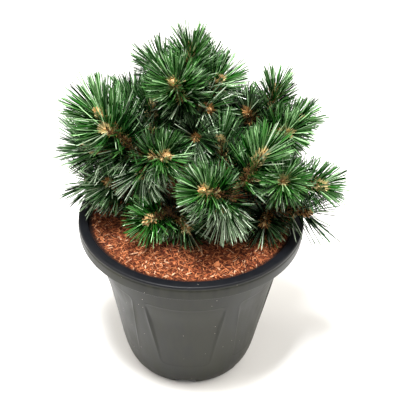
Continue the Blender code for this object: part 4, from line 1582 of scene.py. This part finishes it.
def bud_length(growth, settings):
    """Length of the bud that ends a twig, or nothing on old wood."""
    if growth.radius == settings.shoot_radius:
        return SMALL_BUDS.get(growth.name, 1.0) * BUD_SHARES[growth.colour] * settings.bud_length
    if growth.radius == TWIG_GIRTH * settings.shoot_radius:
        return TWIG_BUD * settings.bud_length
    return 0.0


def old_wood():
    """The stretches of the trunk and boughs that still hold needles of past years."""
    stretches = []
    for name in ["crown"] + list(BOUGHS):
        limb = trunk_path() if name == "crown" else bough_path(name)
        path, widths = smooth_path(*limb, OLD_STRETCHES + 1)
        for low in range(OLD_FROM_LOW if name in LOW_BOUGHS else OLD_FROM, OLD_STRETCHES):
            ends = path[low], path[low + 1]
            stretches.append(Growth(name, "old", *ends, widths[low], OLD_NEEDLE, OLD_DENSITY))
    return stretches


def limb_segments():
    """The starts, ends and radii of every stretch of the trunk and boughs."""
    rows = []
    for points, radii in [trunk_path()] + [bough_path(name) for name in BOUGHS]:
        for low, high, radius in zip(points, points[1:], radii):
            rows.append((*low, *high, radius))
    rows = np.array(rows)
    return rows[:, :3], rows[:, 3:6], rows[:, 6]


def axis_distances(points, starts, ends):
    """Distance of each point to each stretch between two others."""
    along = ends - starts
    offset = points[:, None, :] - starts[None]
    share = (offset * along).sum(-1) / (along**2).sum(-1)
    nearest = starts + np.clip(share, 0.0, 1.0)[..., None] * along
    return np.linalg.norm(points[:, None, :] - nearest, axis=-1)


def off_the_pot(points):
    """Whether each point is above the mulch, off the pot's rim and within the solids' box."""
    reach = np.hypot(points[:, 0], points[:, 1])
    over_rim = np.where(reach < RIM_RADIUS + RIM_GAP, POT_TOP + FLOOR_GAP, 0.0)
    floor = np.where(reach < LIP_RADIUS, MULCH_TOP + FLOOR_GAP, over_rim)
    low = np.array(CAD_LOW) + BOX_GAP
    high = np.array(CAD_HIGH) - BOX_GAP
    return (points[:, 2] > floor) & (points > low).all(1) & (points < high).all(1)


def needle_points(needles, share):
    """The points a share of the way along each needle's bent line."""
    return (
        needles["root"]
        + needles["heading"] * (needles["length"] * share)[:, None]
        + needles["bend"] * (needles["length"] * share**2)[:, None]
    )


def shorten_to_fit(needles, own, axes, limbs):
    """Shortens needles that meet the pot, a limb or another shoot's space, and drops what gets too short."""
    starts, ends, radii = limbs
    kept = np.ones(len(own))
    for share in FIT_SHARES:
        points = needle_points(needles, share)
        clear = off_the_pot(points)
        for low in range(0, len(points), FIT_BATCH):
            part = slice(low, low + FIT_BATCH)
            gaps = axis_distances(points[part], starts, ends) - radii
            clear[part] &= (gaps > LIMB_GAP).all(1)
            reaches = axis_distances(points[part], *axes)
            mine = reaches[np.arange(len(reaches)), own[part]]
            clear[part] &= (reaches.min(1) > SHOOT_SHARE * mine - SHOOT_SLACK) | (own[part] < 0)
        kept = np.where(~clear, np.minimum(kept, share - FIT_CUT), kept)
    needles["length"] = needles["length"] * kept
    return kept > FIT_SHORTEST


def grow_needles(settings):
    """Every needle of the plant, in pairs that follow the golden turn up each stem."""
    names = list(SHOOTS)
    rows = [needles_on(growth, names.index(growth.name), settings) for growth in grow_shoots(settings)]
    rows += [needles_on(growth, -1, settings) for growth in old_wood()]
    needles = {key: np.concatenate([row[key] for row in rows]) for key in rows[0]}
    axes = [np.array(ends) for ends in zip(*(shoot_axis(name) for name in names))]
    fits = shorten_to_fit(needles, needles["shoot"], axes, limb_segments())
    return {key: values[fits] for key, values in needles.items()}


def bare_side(growth):
    """The way that the bare side of a shoot faces: up, and forward or back as the shoot stands."""
    return np.array(BARE_SIDE) * (1.0, math.copysign(1.0, growth.tip[1] - BARE_MIDDLE), 1.0)


def part_needles(turn, growth, side, other):
    """Turns about a stem that leave its outer side bare, wherever that side isn't the stem's own end."""
    way = bare_side(growth)
    across = math.hypot(way @ side, way @ other)
    bare = BARE_HALF * across
    offset = (turn - math.atan2(way @ other, way @ side) + math.pi) % math.tau - math.pi
    parted = bare + np.abs(offset) * (1.0 - bare / PARTED_HALF)
    return turn - offset + np.where(offset < 0.0, -1.0, 1.0) * np.maximum(np.abs(offset), parted)


def needles_on(growth, shoot, settings):
    """The paired needles of one stem, with their tones."""
    rng = seeded(f"{growth.name} {growth.radius:.5f} {growth.tip[0]:.4f}")
    stem, length, heading, side, other = stem_frame(growth.start, growth.tip)
    count = max(4, int(length * growth.density * settings.pairs_per_metre))
    share = (np.arange(count) + 0.5) / count
    height = blend(NEEDLE_START, 1.0 - BUD_COVER * bud_length(growth, settings) / length, share**CROWDING)
    turn = np.arange(count) * GOLDEN_TURN + rng.uniform(-TURN_SPREAD, TURN_SPREAD, count)
    lean = blend(LEAN_LOW, LEAN_HIGH[growth.colour], share**LEAN_FALL)
    lean = np.radians(lean + rng.uniform(-LEAN_SPREAD, LEAN_SPREAD, count))
    if shoot >= 0:
        turn = part_needles(turn, growth, side, other)
    outward = np.cos(turn)[:, None] * side + np.sin(turn)[:, None] * other
    axis = heading * np.cos(lean)[:, None] + outward * np.sin(lean)[:, None]
    axis[:, 2] += UPWARD_TURN[growth.colour]
    axis = unit(axis)
    across = unit(np.cross(axis, outward))
    twist = rng.uniform(0.0, math.pi, count)[:, None]
    plane = across * np.cos(twist) + np.cross(axis, across) * np.sin(twist)
    part = rng.uniform(*PAIR_SPREAD, count)[:, None]
    pair = []
    for way in (-1.0, 1.0):
        direction = unit(axis + plane * part * way)
        curl = heading - direction * (direction @ heading)[:, None]
        bend = curl * rng.uniform(*CURL_SPREAD, count)[:, None] + plane * (PAIR_BOW * way)
        long = growth.needle * rng.uniform(*LENGTH_SPREAD, count) * blend(1.0, TOP_LENGTH, share**2)
        pair.append(
            {
                "root": growth.start + stem * height[:, None] + outward * growth.radius * NEEDLE_SEAT,
                "heading": direction,
                "bend": bend,
                "length": long,
                "width": settings.needle_width * rng.uniform(*WIDTH_SPREAD, count),
                "flat": plane * way,
                "shoot": np.full(count, shoot),
            }
        )
    rows = {key: np.concatenate([pair[0][key], pair[1][key]]) for key in pair[0]}
    return deal_tones(rows, rng, growth, shoot, height, outward, axis[:, 2])


def deal_tones(rows, rng, growth, shoot, height, outward, rise):
    """Gives a stem's needles their stubs, tones and sheaths, and leaves out those that are shed."""
    count = len(height)
    shed = rng.uniform(0.0, 1.0, count)
    stub = (outward @ bare_side(growth) > STUB_FACING) & (height < STUB_BELOW)
    stub &= (shed < STUB_SHARE) & (shoot >= 0)
    short = blend(*STUB_LENGTH, shed / STUB_SHARE)
    rows["length"] = np.where(np.tile(stub, 2), np.tile(short, 2), rows["length"])
    held = (height > SHED_BELOW) | (rng.uniform(0.0, 1.0, count) > SHED_SHARE) | (shoot < 0)
    # Needles on old wood take the inner family, painted shade inside the crown
    family = "inner" if shoot < 0 else SPRAY_FAMILIES.get(growth.name, growth.colour)
    upper, lower = (np.cumsum(shares) for shares in TONE_SHARES[family])
    draw = rng.uniform(0.0, 1.0, count)
    high = height > rng.uniform(*HALF_SPAN, count)
    tone = np.where(high, np.searchsorted(upper, draw), np.searchsorted(lower, draw))
    tone = np.minimum(tone, len(NEEDLE_TONES) - 1)
    hanging = rise < rng.uniform(*HANGING_SPAN, count)
    hanging &= rng.uniform(0.0, 1.0, count) < PALE_BELOW[family]
    tone = np.where(hanging, list(NEEDLE_TONES).index("silver"), tone)
    young = (height > YOUNG_ABOVE) & (family not in OLD_FAMILIES)
    sheath = np.where(young, 0, np.where(height > rng.uniform(*TAN_SPAN, count), 1, 2))
    sheath = np.where(stub, np.searchsorted(STUB_TONES, draw), sheath)
    rows["tone"] = np.tile(tone, 2)
    rows["sheath"] = np.tile(sheath, 2)
    sheathed = np.where(young, rng.uniform(*YOUNG_SHEATH, count), rng.uniform(*OLD_SHEATH, count))
    rows["sheath_end"] = np.tile(np.where(stub, STUB_SHEATH, sheathed / growth.needle), 2)
    # The lower stretch of needles low on a stem gets painted shade
    rows["dim"] = np.tile(height < rng.uniform(*DIM_SPAN, count), 2)
    faces = FACE_SHADES[rng.integers(0, len(FACE_SHADES), 2 * count)]
    rows["shade_left"], rows["shade_right"] = faces[:, 0], faces[:, 1]
    return {key: values[np.tile(held, 2)] for key, values in rows.items()}


# A needle's rings as shares of its length, the first above its sheath, and its width at each
SPANS = (0.0, None, 0.55, 0.93)
SPAN_WIDTHS = (0.80, 0.95, 1.0, 0.80)

# Shades of a needle's two outer faces (0 common, 1 light as a painted highlight, 2 dark as painted shade, 3
# waxy), what each turns to in the painted shade of the needle's lower stretch, and the wax on each
FACE_SHADES = np.array(
    [(0, 0), (1, 1), (2, 2), (0, 3), (2, 0), (3, 1), (2, 2), (1, 0), (0, 2), (1, 2), (2, 2), (0, 0)]
)
DIM_SHADES = np.array([2, 0, 2, 0])
FACE_WAX = (0.25, 1.0, 0.0, 0.6)
SHEATH_WAX = 0.1
BACK_SHARE = 0.9
MOST_NEEDLES = 8000


def needle_shapes(needles):
    """Points, faces and face slots of three-sided needles: a pale inner face and two outer ones."""
    count = len(needles["length"])
    rings = []
    for span, width in zip(SPANS, SPAN_WIDTHS):
        share = needles["sheath_end"] if span is None else np.full(count, span)
        centre = needle_points(needles, share)
        along = unit(needles["heading"] + 2.0 * share[:, None] * needles["bend"])
        back = unit(needles["flat"] - along * (needles["flat"] * along).sum(1, keepdims=True))
        across = np.cross(along, back)
        half = (needles["width"] * width / 2.0)[:, None]
        rings += [centre + back * half * BACK_SHARE, centre + across * half, centre - across * half]
    points = np.stack(rings + [needle_points(needles, 1.0)], axis=1)
    # Each row holds a face's corners and its kind: 0 to 2 above, 3 to 5 in the shaded stretch, 6 the sheath
    tip = 3 * len(SPANS)
    rows = [(2, 1, 0, 6)]
    for ring in range(len(SPANS) - 1):
        for side in range(3):
            a = 3 * ring + side
            b = 3 * ring + (side + 1) % 3
            kind = (6, 3 + side, side)[ring]
            rows += [(a, b, b + 3, kind), (a, b + 3, a + 3, kind)]
    last = tip - 3
    for side in range(3):
        rows.append((last + side, last + (side + 1) % 3, tip, side))
    rows = np.array(rows)
    faces = rows[None, :, :3] + (np.arange(count) * (tip + 1))[:, None, None]
    left, right, dim = needles["shade_left"], needles["shade_right"], needles["dim"]
    inner = np.full(count, 3)
    shaded_left, shaded_right = (np.where(dim, DIM_SHADES[side], side) for side in (left, right))
    kinds = [left, inner, right, shaded_left, np.where(dim, 0, 3), shaded_right, 4 + needles["sheath"]]
    slots = np.stack(kinds, axis=1)[:, rows[:, 3]]
    return points.reshape(-1, 3), faces.reshape(-1, 3), slots.ravel()


class ShootSettings(bpy.types.PropertyGroup):
    """Sizes, counts and colours of the twigs, buds and needles"""

    shoot_radius: FloatProperty(
        name="Shoot radius", description="Radius of a shoot's twig", default=0.0029, unit="LENGTH"
    )
    side_twigs: IntProperty(name="Side twigs", description="Finer twigs on each shoot", default=2)
    pairs_per_metre: FloatProperty(
        name="Pairs per metre", description="Pairs of needles on a metre of twig", default=3700.0
    )
    needle_width: FloatProperty(
        name="Needle width", description="Width of a needle", default=0.00135, unit="LENGTH"
    )
    scales_per_metre: FloatProperty(
        name="Scales per metre", description="Papery scales on a metre of twig", default=3200.0
    )
    bud_length: FloatProperty(
        name="Bud length", description="Length of an end bud", default=0.013, unit="LENGTH"
    )
    twig_light: FloatVectorProperty(
        name="Light twig", description="Leaf cushions on a twig", subtype="COLOR", default=(0.42, 0.23, 0.10)
    )
    twig_dark: FloatVectorProperty(
        name="Dark twig", description="Furrows of a twig", subtype="COLOR", default=(0.060, 0.028, 0.012)
    )
    bud_light: FloatVectorProperty(
        name="Light bud", description="Resin and scale edges", subtype="COLOR", default=(0.84, 0.64, 0.34)
    )
    bud_dark: FloatVectorProperty(
        name="Dark bud", description="Bud scales", subtype="COLOR", default=(0.50, 0.235, 0.060)
    )


def join_needles(tone, needles, materials):
    """Joins the needles of a tone into pieces that each stay under 200,000 triangles."""
    count = len(needles["length"])
    pieces = max(1, math.ceil(count / MOST_NEEDLES))
    slot = NEEDLE_SLOTS[tone]
    nodes = ["shoot_" + name for name, shoot in SHOOTS.items() if shoot.colour == slot]
    for number in range(pieces):
        part = {key: values[number::pieces] for key, values in needles.items()}
        points, faces, slots = needle_shapes(part)
        name = f"needles_{tone}" if pieces == 1 else f"needles_{tone}_{number + 1}"
        piece = add_piece(name, make_mesh(name, points, [faces], [slots]), materials, smooth=80.0)
        dress(piece, nodes)


class PINE_OT_needles(bpy.types.Operator):
    """Grows the needles in pairs and joins them by tone"""

    bl_idname = "pine.needles"
    bl_label = "Needles"

    def execute(self, context):
        settings = context.scene.pine_shoots
        needles = grow_needles(settings)
        sheaths = [
            needle_material("sheath_" + name, tone, SHEATH_WAX) for name, tone in SHEATH_TONES.items()
        ]
        for number, (tone, colours) in enumerate(NEEDLE_TONES.items()):
            part = needles["tone"] == number
            chosen = {key: values[part] for key, values in needles.items()}
            # Light faces are a painted highlight and dark faces painted shade
            faces = zip(("common", "light", "dark", "waxy"), colours, FACE_WAX)
            finishes = [needle_material(f"needle_{tone}_{face}", colour, wax) for face, colour, wax in faces]
            join_needles(tone, chosen, finishes + sheaths)
        return {"FINISHED"}


# Papery scales on a twig: where they stand, and spreads of place, turn, lean in degrees, reach and half width
SCALE_SPAN = (0.02, 0.86)
SCALE_SHIFT = 0.01
SCALE_TURN = 0.4
SCALE_LEAN = (38.0, 72.0)
SCALE_REACH = (1.3, 2.6)
SCALE_HALF = (0.20, 0.34)
SCALE_SEAT = 0.8
SCALE_MIDDLE = 0.4
SCALE_FACES = ((0, 4, 2), (2, 4, 3), (3, 4, 1), (1, 4, 0), (0, 2, 1), (1, 2, 3))

# A twig's rings, sides and relief, its girth from foot to tip, and its finish and shades
TWIG_RINGS = 18
TWIG_SIDES = 7
TWIG_RELIEF = (0.0006, 700.0)
TWIG_CUT = 0.1
TWIG_TAPER = ((0.0, 0.15, 0.9, 1.0), (1.25, 1.0, 0.9, 0.7))
TWIG_FINISH = (380.0, 1200.0, 0.8, 0.0003)
TWIG_MIDDLE = 0.55
TWIG_DEEP = 0.4


def repeat_faces(faces, count):
    """The faces of so many like shapes of five points each, one shape after the other."""
    return (np.array(faces)[None] + (np.arange(count) * 5)[:, None, None]).reshape(-1, 3)


def scale_shapes(growth, settings):
    """Points, faces and face slots of the papery scales that stand off a twig."""
    rng = seeded(f"{growth.name} {growth.radius:.5f} {growth.tip[0]:.4f} scales")
    stem, length, heading, side, other = stem_frame(growth.start, growth.tip)
    count = int(length * settings.scales_per_metre)
    share = np.linspace(*SCALE_SPAN, count) + rng.uniform(-SCALE_SHIFT, SCALE_SHIFT, count)
    turn = np.arange(count) * GOLDEN_TURN + rng.uniform(-SCALE_TURN, SCALE_TURN, count)
    lean = np.radians(rng.uniform(*SCALE_LEAN, count))[:, None]
    outward = np.cos(turn)[:, None] * side + np.sin(turn)[:, None] * other
    around = np.cross(heading, outward)
    along = heading * np.cos(lean) + outward * np.sin(lean)
    back = outward * np.cos(lean) - heading * np.sin(lean)
    reach = growth.radius * rng.uniform(*SCALE_REACH, count)[:, None]
    half = growth.radius * rng.uniform(*SCALE_HALF, count)[:, None]
    foot = growth.start + stem * share[:, None] + outward * growth.radius * SCALE_SEAT
    middle = foot + along * reach * SCALE_MIDDLE
    sides = [middle - around * half, middle + around * half]
    points = np.stack([foot, *sides, foot + along * reach, middle - back * half], axis=1).reshape(-1, 3)
    kinds = np.repeat(rng.integers(1, 4, count), len(SCALE_FACES))
    return points, repeat_faces(SCALE_FACES, count), kinds


class PINE_OT_twigs(bpy.types.Operator):
    """Makes the twigs that carry the needles, with their papery scales"""

    bl_idname = "pine.twigs"
    bl_label = "Twigs"

    def execute(self, context):
        settings = context.scene.pine_shoots
        shapes = []
        scales = []
        for growth in grow_shoots(settings):
            scales.append(scale_shapes(growth, settings))
            end = growth.tip - (growth.tip - growth.start) * TWIG_CUT
            path = np.linspace(growth.start, end, TWIG_RINGS)
            radii = growth.radius * np.interp(np.linspace(0.0, 1.0, TWIG_RINGS), *TWIG_TAPER)
            shapes.append(tube(path, radii, TWIG_SIDES, bark_relief(*TWIG_RELIEF)))
        stems, quads, fans = join_shapes(shapes)
        offsets = np.cumsum([len(stems)] + [len(points) for points, _, _ in scales])
        faces = np.vstack([shape[1] + offset for shape, offset in zip(scales, offsets)])
        kinds = np.concatenate([shape[2] for shape in scales])
        points = np.vstack([stems] + [shape[0] for shape in scales])
        light, dark = settings.twig_light, settings.twig_dark
        middle = shade(light, TWIG_MIDDLE)
        tones = [
            ("twig_bark", dark, light),
            ("scale_tan", middle, light),
            ("scale_brown", dark, middle),
            ("scale_dark", shade(dark, TWIG_DEEP), dark),
        ]
        materials = [mottled_material(*tone, *TWIG_FINISH) for tone in tones]
        slots = np.zeros(len(quads)), np.zeros(len(fans)), kinds
        mesh = make_mesh("twigs", points, [quads, fans, faces], slots)
        twigs = add_piece("twigs", mesh, materials, smooth=60.0)
        dress(twigs, ["shoot_" + name for name in SHOOTS])
        return {"FINISHED"}


# The buds

# A bud's core: how long it is beside its setting, how thick, the widths along it and its sides
BUD_SHARES = {"fresh": 1.4, "green": 1.1, "old": 0.7, "yellowed": 0.8}
BUD_GIRTH = 0.30
BUD_WIDTHS = (0.55, 0.9, 1.0, 0.9, 0.66, 0.36, 0.06)
BUD_SIDES = 8

# Its scales, in shares of its length: how many, where the first is and how far up they go, then their sizes
BUD_SCALES = 18
BUD_SCALE_FOOT = 0.02
BUD_SCALE_RISE = 0.72
BUD_SCALE_SEAT = 0.85
BUD_SCALE_REACH = 0.24
BUD_SCALE_WIDTH = 0.085
BUD_SCALE_TIP = 0.035
BUD_SCALE_BULGE = 0.075
BUD_BULGE_HEIGHT = 0.45
BUD_MIDDLE_HEIGHT = 0.4
BUD_SCALE_FACES = ((0, 2, 4), (2, 3, 4), (3, 1, 4), (1, 0, 4), (0, 1, 2), (1, 3, 2))
BUD_FINISH = (300.0, 1100.0, 0.55, 0.0002)

# The smaller buds round a main one: how many, their turn, lean in degrees, offset and size
BUD_SPREAD = (0.9, 1.1)
SIDE_BUDS = (3, 6)
SIDE_BUDS_ROUND = 4.6
SIDE_BUD_LEAN = (24.0, 40.0)
SIDE_BUD_OFFSET = 0.0018
SIDE_BUD_SIZE = (0.45, 0.7)


def bud_source(length):
    """One bud: a pointed core under rows of lapped scales, standing on the origin."""
    t = np.linspace(0.0, 1.0, len(BUD_WIDTHS))
    radii = length * BUD_GIRTH * np.array(BUD_WIDTHS)
    path = np.column_stack([np.zeros(len(t)), np.zeros(len(t)), t * length])
    core, quads, fans = tube(path, radii, BUD_SIDES)
    reach = length * BUD_SCALE_REACH
    width = length * BUD_SCALE_WIDTH
    scales = []
    for number in range(BUD_SCALES):
        share = BUD_SCALE_FOOT + BUD_SCALE_RISE * number / BUD_SCALES
        turn = number * GOLDEN_TURN
        outward = np.array([math.cos(turn), math.sin(turn), 0.0])
        around = np.array([-math.sin(turn), math.cos(turn), 0.0])
        foot = outward * np.interp(share, t, radii) * BUD_SCALE_SEAT + (0.0, 0.0, share * length)
        tip = foot + (0.0, 0.0, reach) + outward * length * BUD_SCALE_TIP
        bulge = foot + (0.0, 0.0, BUD_BULGE_HEIGHT * reach) + outward * length * BUD_SCALE_BULGE
        middle = foot + (0.0, 0.0, BUD_MIDDLE_HEIGHT * reach)
        scales.append(np.array([foot, middle - around * width, middle + around * width, tip, bulge]))
    faces = repeat_faces(BUD_SCALE_FACES, BUD_SCALES) + len(core)
    return make_mesh("bud", np.vstack([core, *scales]), [quads, fans, faces])


def bud_tree():
    """Geometry nodes that stand one shape on every point, by the heading and size stored there."""
    name = "Set Buds"
    if name in bpy.data.node_groups:
        return bpy.data.node_groups[name]
    group, tree, given, result = new_group(
        name,
        "GeometryNodeTree",
        [
            ("Points", "NodeSocketGeometry", None),
            ("Bud", "NodeSocketObject", None),
            ("Material", "NodeSocketMaterial", None),
        ],
        [("Buds", "NodeSocketGeometry")],
    )
    heading = tree.add("GeometryNodeInputNamedAttribute", {"data_type": "FLOAT_VECTOR"}, Name="heading")
    size = tree.add("GeometryNodeInputNamedAttribute", {"data_type": "FLOAT"}, Name="size")
    turn = tree.add("FunctionNodeAlignRotationToVector", {"axis": "Z"}, Vector=heading.outputs[0])
    bud = tree.add("GeometryNodeObjectInfo", Object=given["Bud"])
    points = tree.add("GeometryNodeMeshToPoints", Mesh=given["Points"])
    stood = tree.add(
        "GeometryNodeInstanceOnPoints",
        Points=points.outputs["Points"],
        Instance=bud.outputs["Geometry"],
        Rotation=turn.outputs[0],
        Scale=size.outputs[0],
    )
    tree.feed(result["Buds"], realized(tree, stood, given["Material"]))
    return group


def bud_places(settings):
    """Where buds stand: one at each twig's end, and smaller ones round it on the main shoots."""
    buds = []
    for growth in grow_shoots(settings):
        main = growth.radius == settings.shoot_radius
        _, _, heading, side, other = stem_frame(growth.start, growth.tip)
        rng = seeded(f"{growth.name} buds {growth.tip[0]:.4f}")
        size = bud_length(growth, settings) / settings.bud_length * rng.uniform(*BUD_SPREAD)
        base = growth.tip - heading * settings.bud_length * size
        buds.append((base, heading, size))
        first = rng.uniform(0.0, math.tau)
        for i in range(rng.integers(*SIDE_BUDS) if main else 0):
            turn = first + i * math.tau / SIDE_BUDS_ROUND
            outward = side * math.cos(turn) + other * math.sin(turn)
            lean = math.radians(rng.uniform(*SIDE_BUD_LEAN))
            leaning = heading * math.cos(lean) + outward * math.sin(lean)
            buds.append((base + outward * SIDE_BUD_OFFSET, leaning, size * rng.uniform(*SIDE_BUD_SIZE)))
    return [np.array(values, np.float32) for values in zip(*buds)]


class PINE_OT_buds(bpy.types.Operator):
    """Stands the buds at the ends of the twigs"""

    bl_idname = "pine.buds"
    bl_label = "Buds"

    def execute(self, context):
        settings = context.scene.pine_shoots
        places, headings, sizes = bud_places(settings)
        mesh = bpy.data.meshes.new("bud_places")
        mesh.vertices.add(len(places))
        mesh.vertices.foreach_set("co", places.ravel())
        mesh.attributes.new("heading", "FLOAT_VECTOR", "POINT").data.foreach_set("vector", headings.ravel())
        mesh.attributes.new("size", "FLOAT", "POINT").data.foreach_set("value", sizes)
        source = link(bpy.data.objects.new("bud", bud_source(settings.bud_length)))
        material = mottled_material("bud_scales", settings.bud_dark, settings.bud_light, *BUD_FINISH)
        stood = run_nodes("bud_carrier", mesh, bud_tree(), {"Bud": source, "Material": material})
        bpy.data.objects.remove(source)
        buds = add_piece("buds", stood, [material], smooth=50.0)
        dress(buds, ["shoot_" + name for name in SHOOTS])
        return {"FINISHED"}


# The stage

FLOOR_RADIUS = 20.0
FLOOR_SIDES = 64
FLOOR_ROUGHNESS = 0.9
FLOOR_SPECULAR = 0.1
WHITE = (1.0, 1.0, 1.0)

# Soft boxes: place and size; the right one is a little stronger than the left
LEFT_BOX = ((-1.8, 0.10, 1.75), 3.0)
RIGHT_BOX = ((1.8, 0.05, 1.75), 3.0)
TOP_BOX = ((-0.20, -0.45, 2.3), 0.45)
RIGHT_SHARE = 1.12


class StageSettings(bpy.types.PropertyGroup):
    """Colours and strengths of the floor and the lights"""

    floor_colour: FloatVectorProperty(
        name="Floor colour", description="Plain pale floor", subtype="COLOR", default=(0.93, 0.93, 0.93)
    )
    sky_strength: FloatProperty(
        name="Sky strength", description="Even light from all round", default=0.26
    )
    side_power: FloatProperty(
        name="Side power", description="Watts of each soft box at the sides", default=68.0
    )
    top_power: FloatProperty(name="Top power", description="Watts of the soft box above", default=94.0)
    light_colour: FloatVectorProperty(
        name="Side colour", description="Warmth of the side light", subtype="COLOR", default=(1.0, 0.95, 0.87)
    )


def add_light(name, box, power, colour):
    """A square soft light, turned to the plant's middle."""
    place, size = box
    data = bpy.data.lights.new(name, "AREA")
    data.energy = power
    data.color = colour
    data.size = size
    light = link(bpy.data.objects.new(name, data))
    light.location = place
    light.rotation_mode = "QUATERNION"
    light.rotation_quaternion = (CAMERA_TARGET - Vector(place)).to_track_quat("-Z", "Y")


def add_camera():
    """The camera at the photograph's viewing angle."""
    forward = Vector((0.0, math.cos(CAMERA_ELEVATION), -math.sin(CAMERA_ELEVATION)))
    level = Vector((1.0, 0.0, 0.0))
    upright = level.cross(forward)
    across = level * math.cos(CAMERA_ROLL) + upright * math.sin(CAMERA_ROLL)
    above = upright * math.cos(CAMERA_ROLL) - level * math.sin(CAMERA_ROLL)
    data = bpy.data.cameras.new("camera")
    data.sensor_width = SENSOR_WIDTH
    data.lens = SENSOR_WIDTH * FOCAL_SHARE
    camera = link(bpy.data.objects.new("camera", data))
    place = Matrix((across, above, -forward)).transposed().to_4x4()
    place.translation = CAMERA_TARGET - forward * CAMERA_DISTANCE
    camera.matrix_world = place
    bpy.context.scene.camera = camera


class PINE_OT_stage(bpy.types.Operator):
    """Sets the pale floor, the soft lights and the camera"""

    bl_idname = "pine.stage"
    bl_label = "Stage"

    def execute(self, context):
        settings = context.scene.pine_stage
        bm = bmesh.new()
        bmesh.ops.create_circle(bm, cap_ends=True, segments=FLOOR_SIDES, radius=FLOOR_RADIUS)
        material, _, _ = new_material("floor", settings.floor_colour, FLOOR_ROUGHNESS, FLOOR_SPECULAR)
        floor = add_piece("floor", mesh_from("floor", bm), [material])
        world = bpy.data.worlds.new("studio")
        world.use_nodes = True
        background = world.node_tree.nodes["Background"]
        background.inputs["Color"].default_value = (*WHITE, 1.0)
        background.inputs["Strength"].default_value = settings.sky_strength
        context.scene.world = world
        context.scene.view_settings.view_transform = "Standard"
        add_light("left", LEFT_BOX, settings.side_power, settings.light_colour)
        add_light("right", RIGHT_BOX, RIGHT_SHARE * settings.side_power, settings.light_colour)
        add_light("top", TOP_BOX, settings.top_power, WHITE)
        add_camera()
        return {"FINISHED"}


class PINE_PT_tools(bpy.types.Panel):
    """Lists the pieces of the potted pine"""

    bl_label = "Potted Pine"
    bl_idname = "PINE_PT_tools"
    bl_space_type = "VIEW_3D"
    bl_region_type = "UI"
    bl_category = "Pine"

    def draw(self, context):
        for operator in OPERATORS:
            self.layout.operator(operator.bl_idname)
        for name in SETTINGS:
            settings = getattr(context.scene, name)
            for key in settings.bl_rna.properties.keys():
                if key not in ("rna_type", "name"):
                    self.layout.prop(settings, key)


SETTINGS = {
    "pine_pot": PotSettings,
    "pine_mulch": MulchSettings,
    "pine_bark": BarkSettings,
    "pine_shoots": ShootSettings,
    "pine_stage": StageSettings,
}
OPERATORS = [
    PINE_OT_pot,
    PINE_OT_mulch_bed,
    PINE_OT_mulch_chips,
    PINE_OT_bark,
    PINE_OT_twigs,
    PINE_OT_buds,
    PINE_OT_needles,
    PINE_OT_stage,
]


def register():
    """Registers the settings, the operators and the panel."""
    for name, settings in SETTINGS.items():
        bpy.utils.register_class(settings)
        setattr(bpy.types.Scene, name, PointerProperty(type=settings))
    for cls in OPERATORS + [PINE_PT_tools]:
        bpy.utils.register_class(cls)


def unregister():
    """Takes back what register did."""
    for cls in reversed(OPERATORS + [PINE_PT_tools]):
        bpy.utils.unregister_class(cls)
    for name, settings in SETTINGS.items():
        delattr(bpy.types.Scene, name)
        bpy.utils.unregister_class(settings)


def main():
    """Makes every piece and the stage."""
    register()
    bpy.ops.pine.pot()
    bpy.ops.pine.mulch_bed()
    bpy.ops.pine.mulch_chips()
    bpy.ops.pine.bark()
    bpy.ops.pine.twigs()
    bpy.ops.pine.buds()
    bpy.ops.pine.needles()
    bpy.ops.pine.stage()
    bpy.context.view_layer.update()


if __name__ == "__main__":
    main()
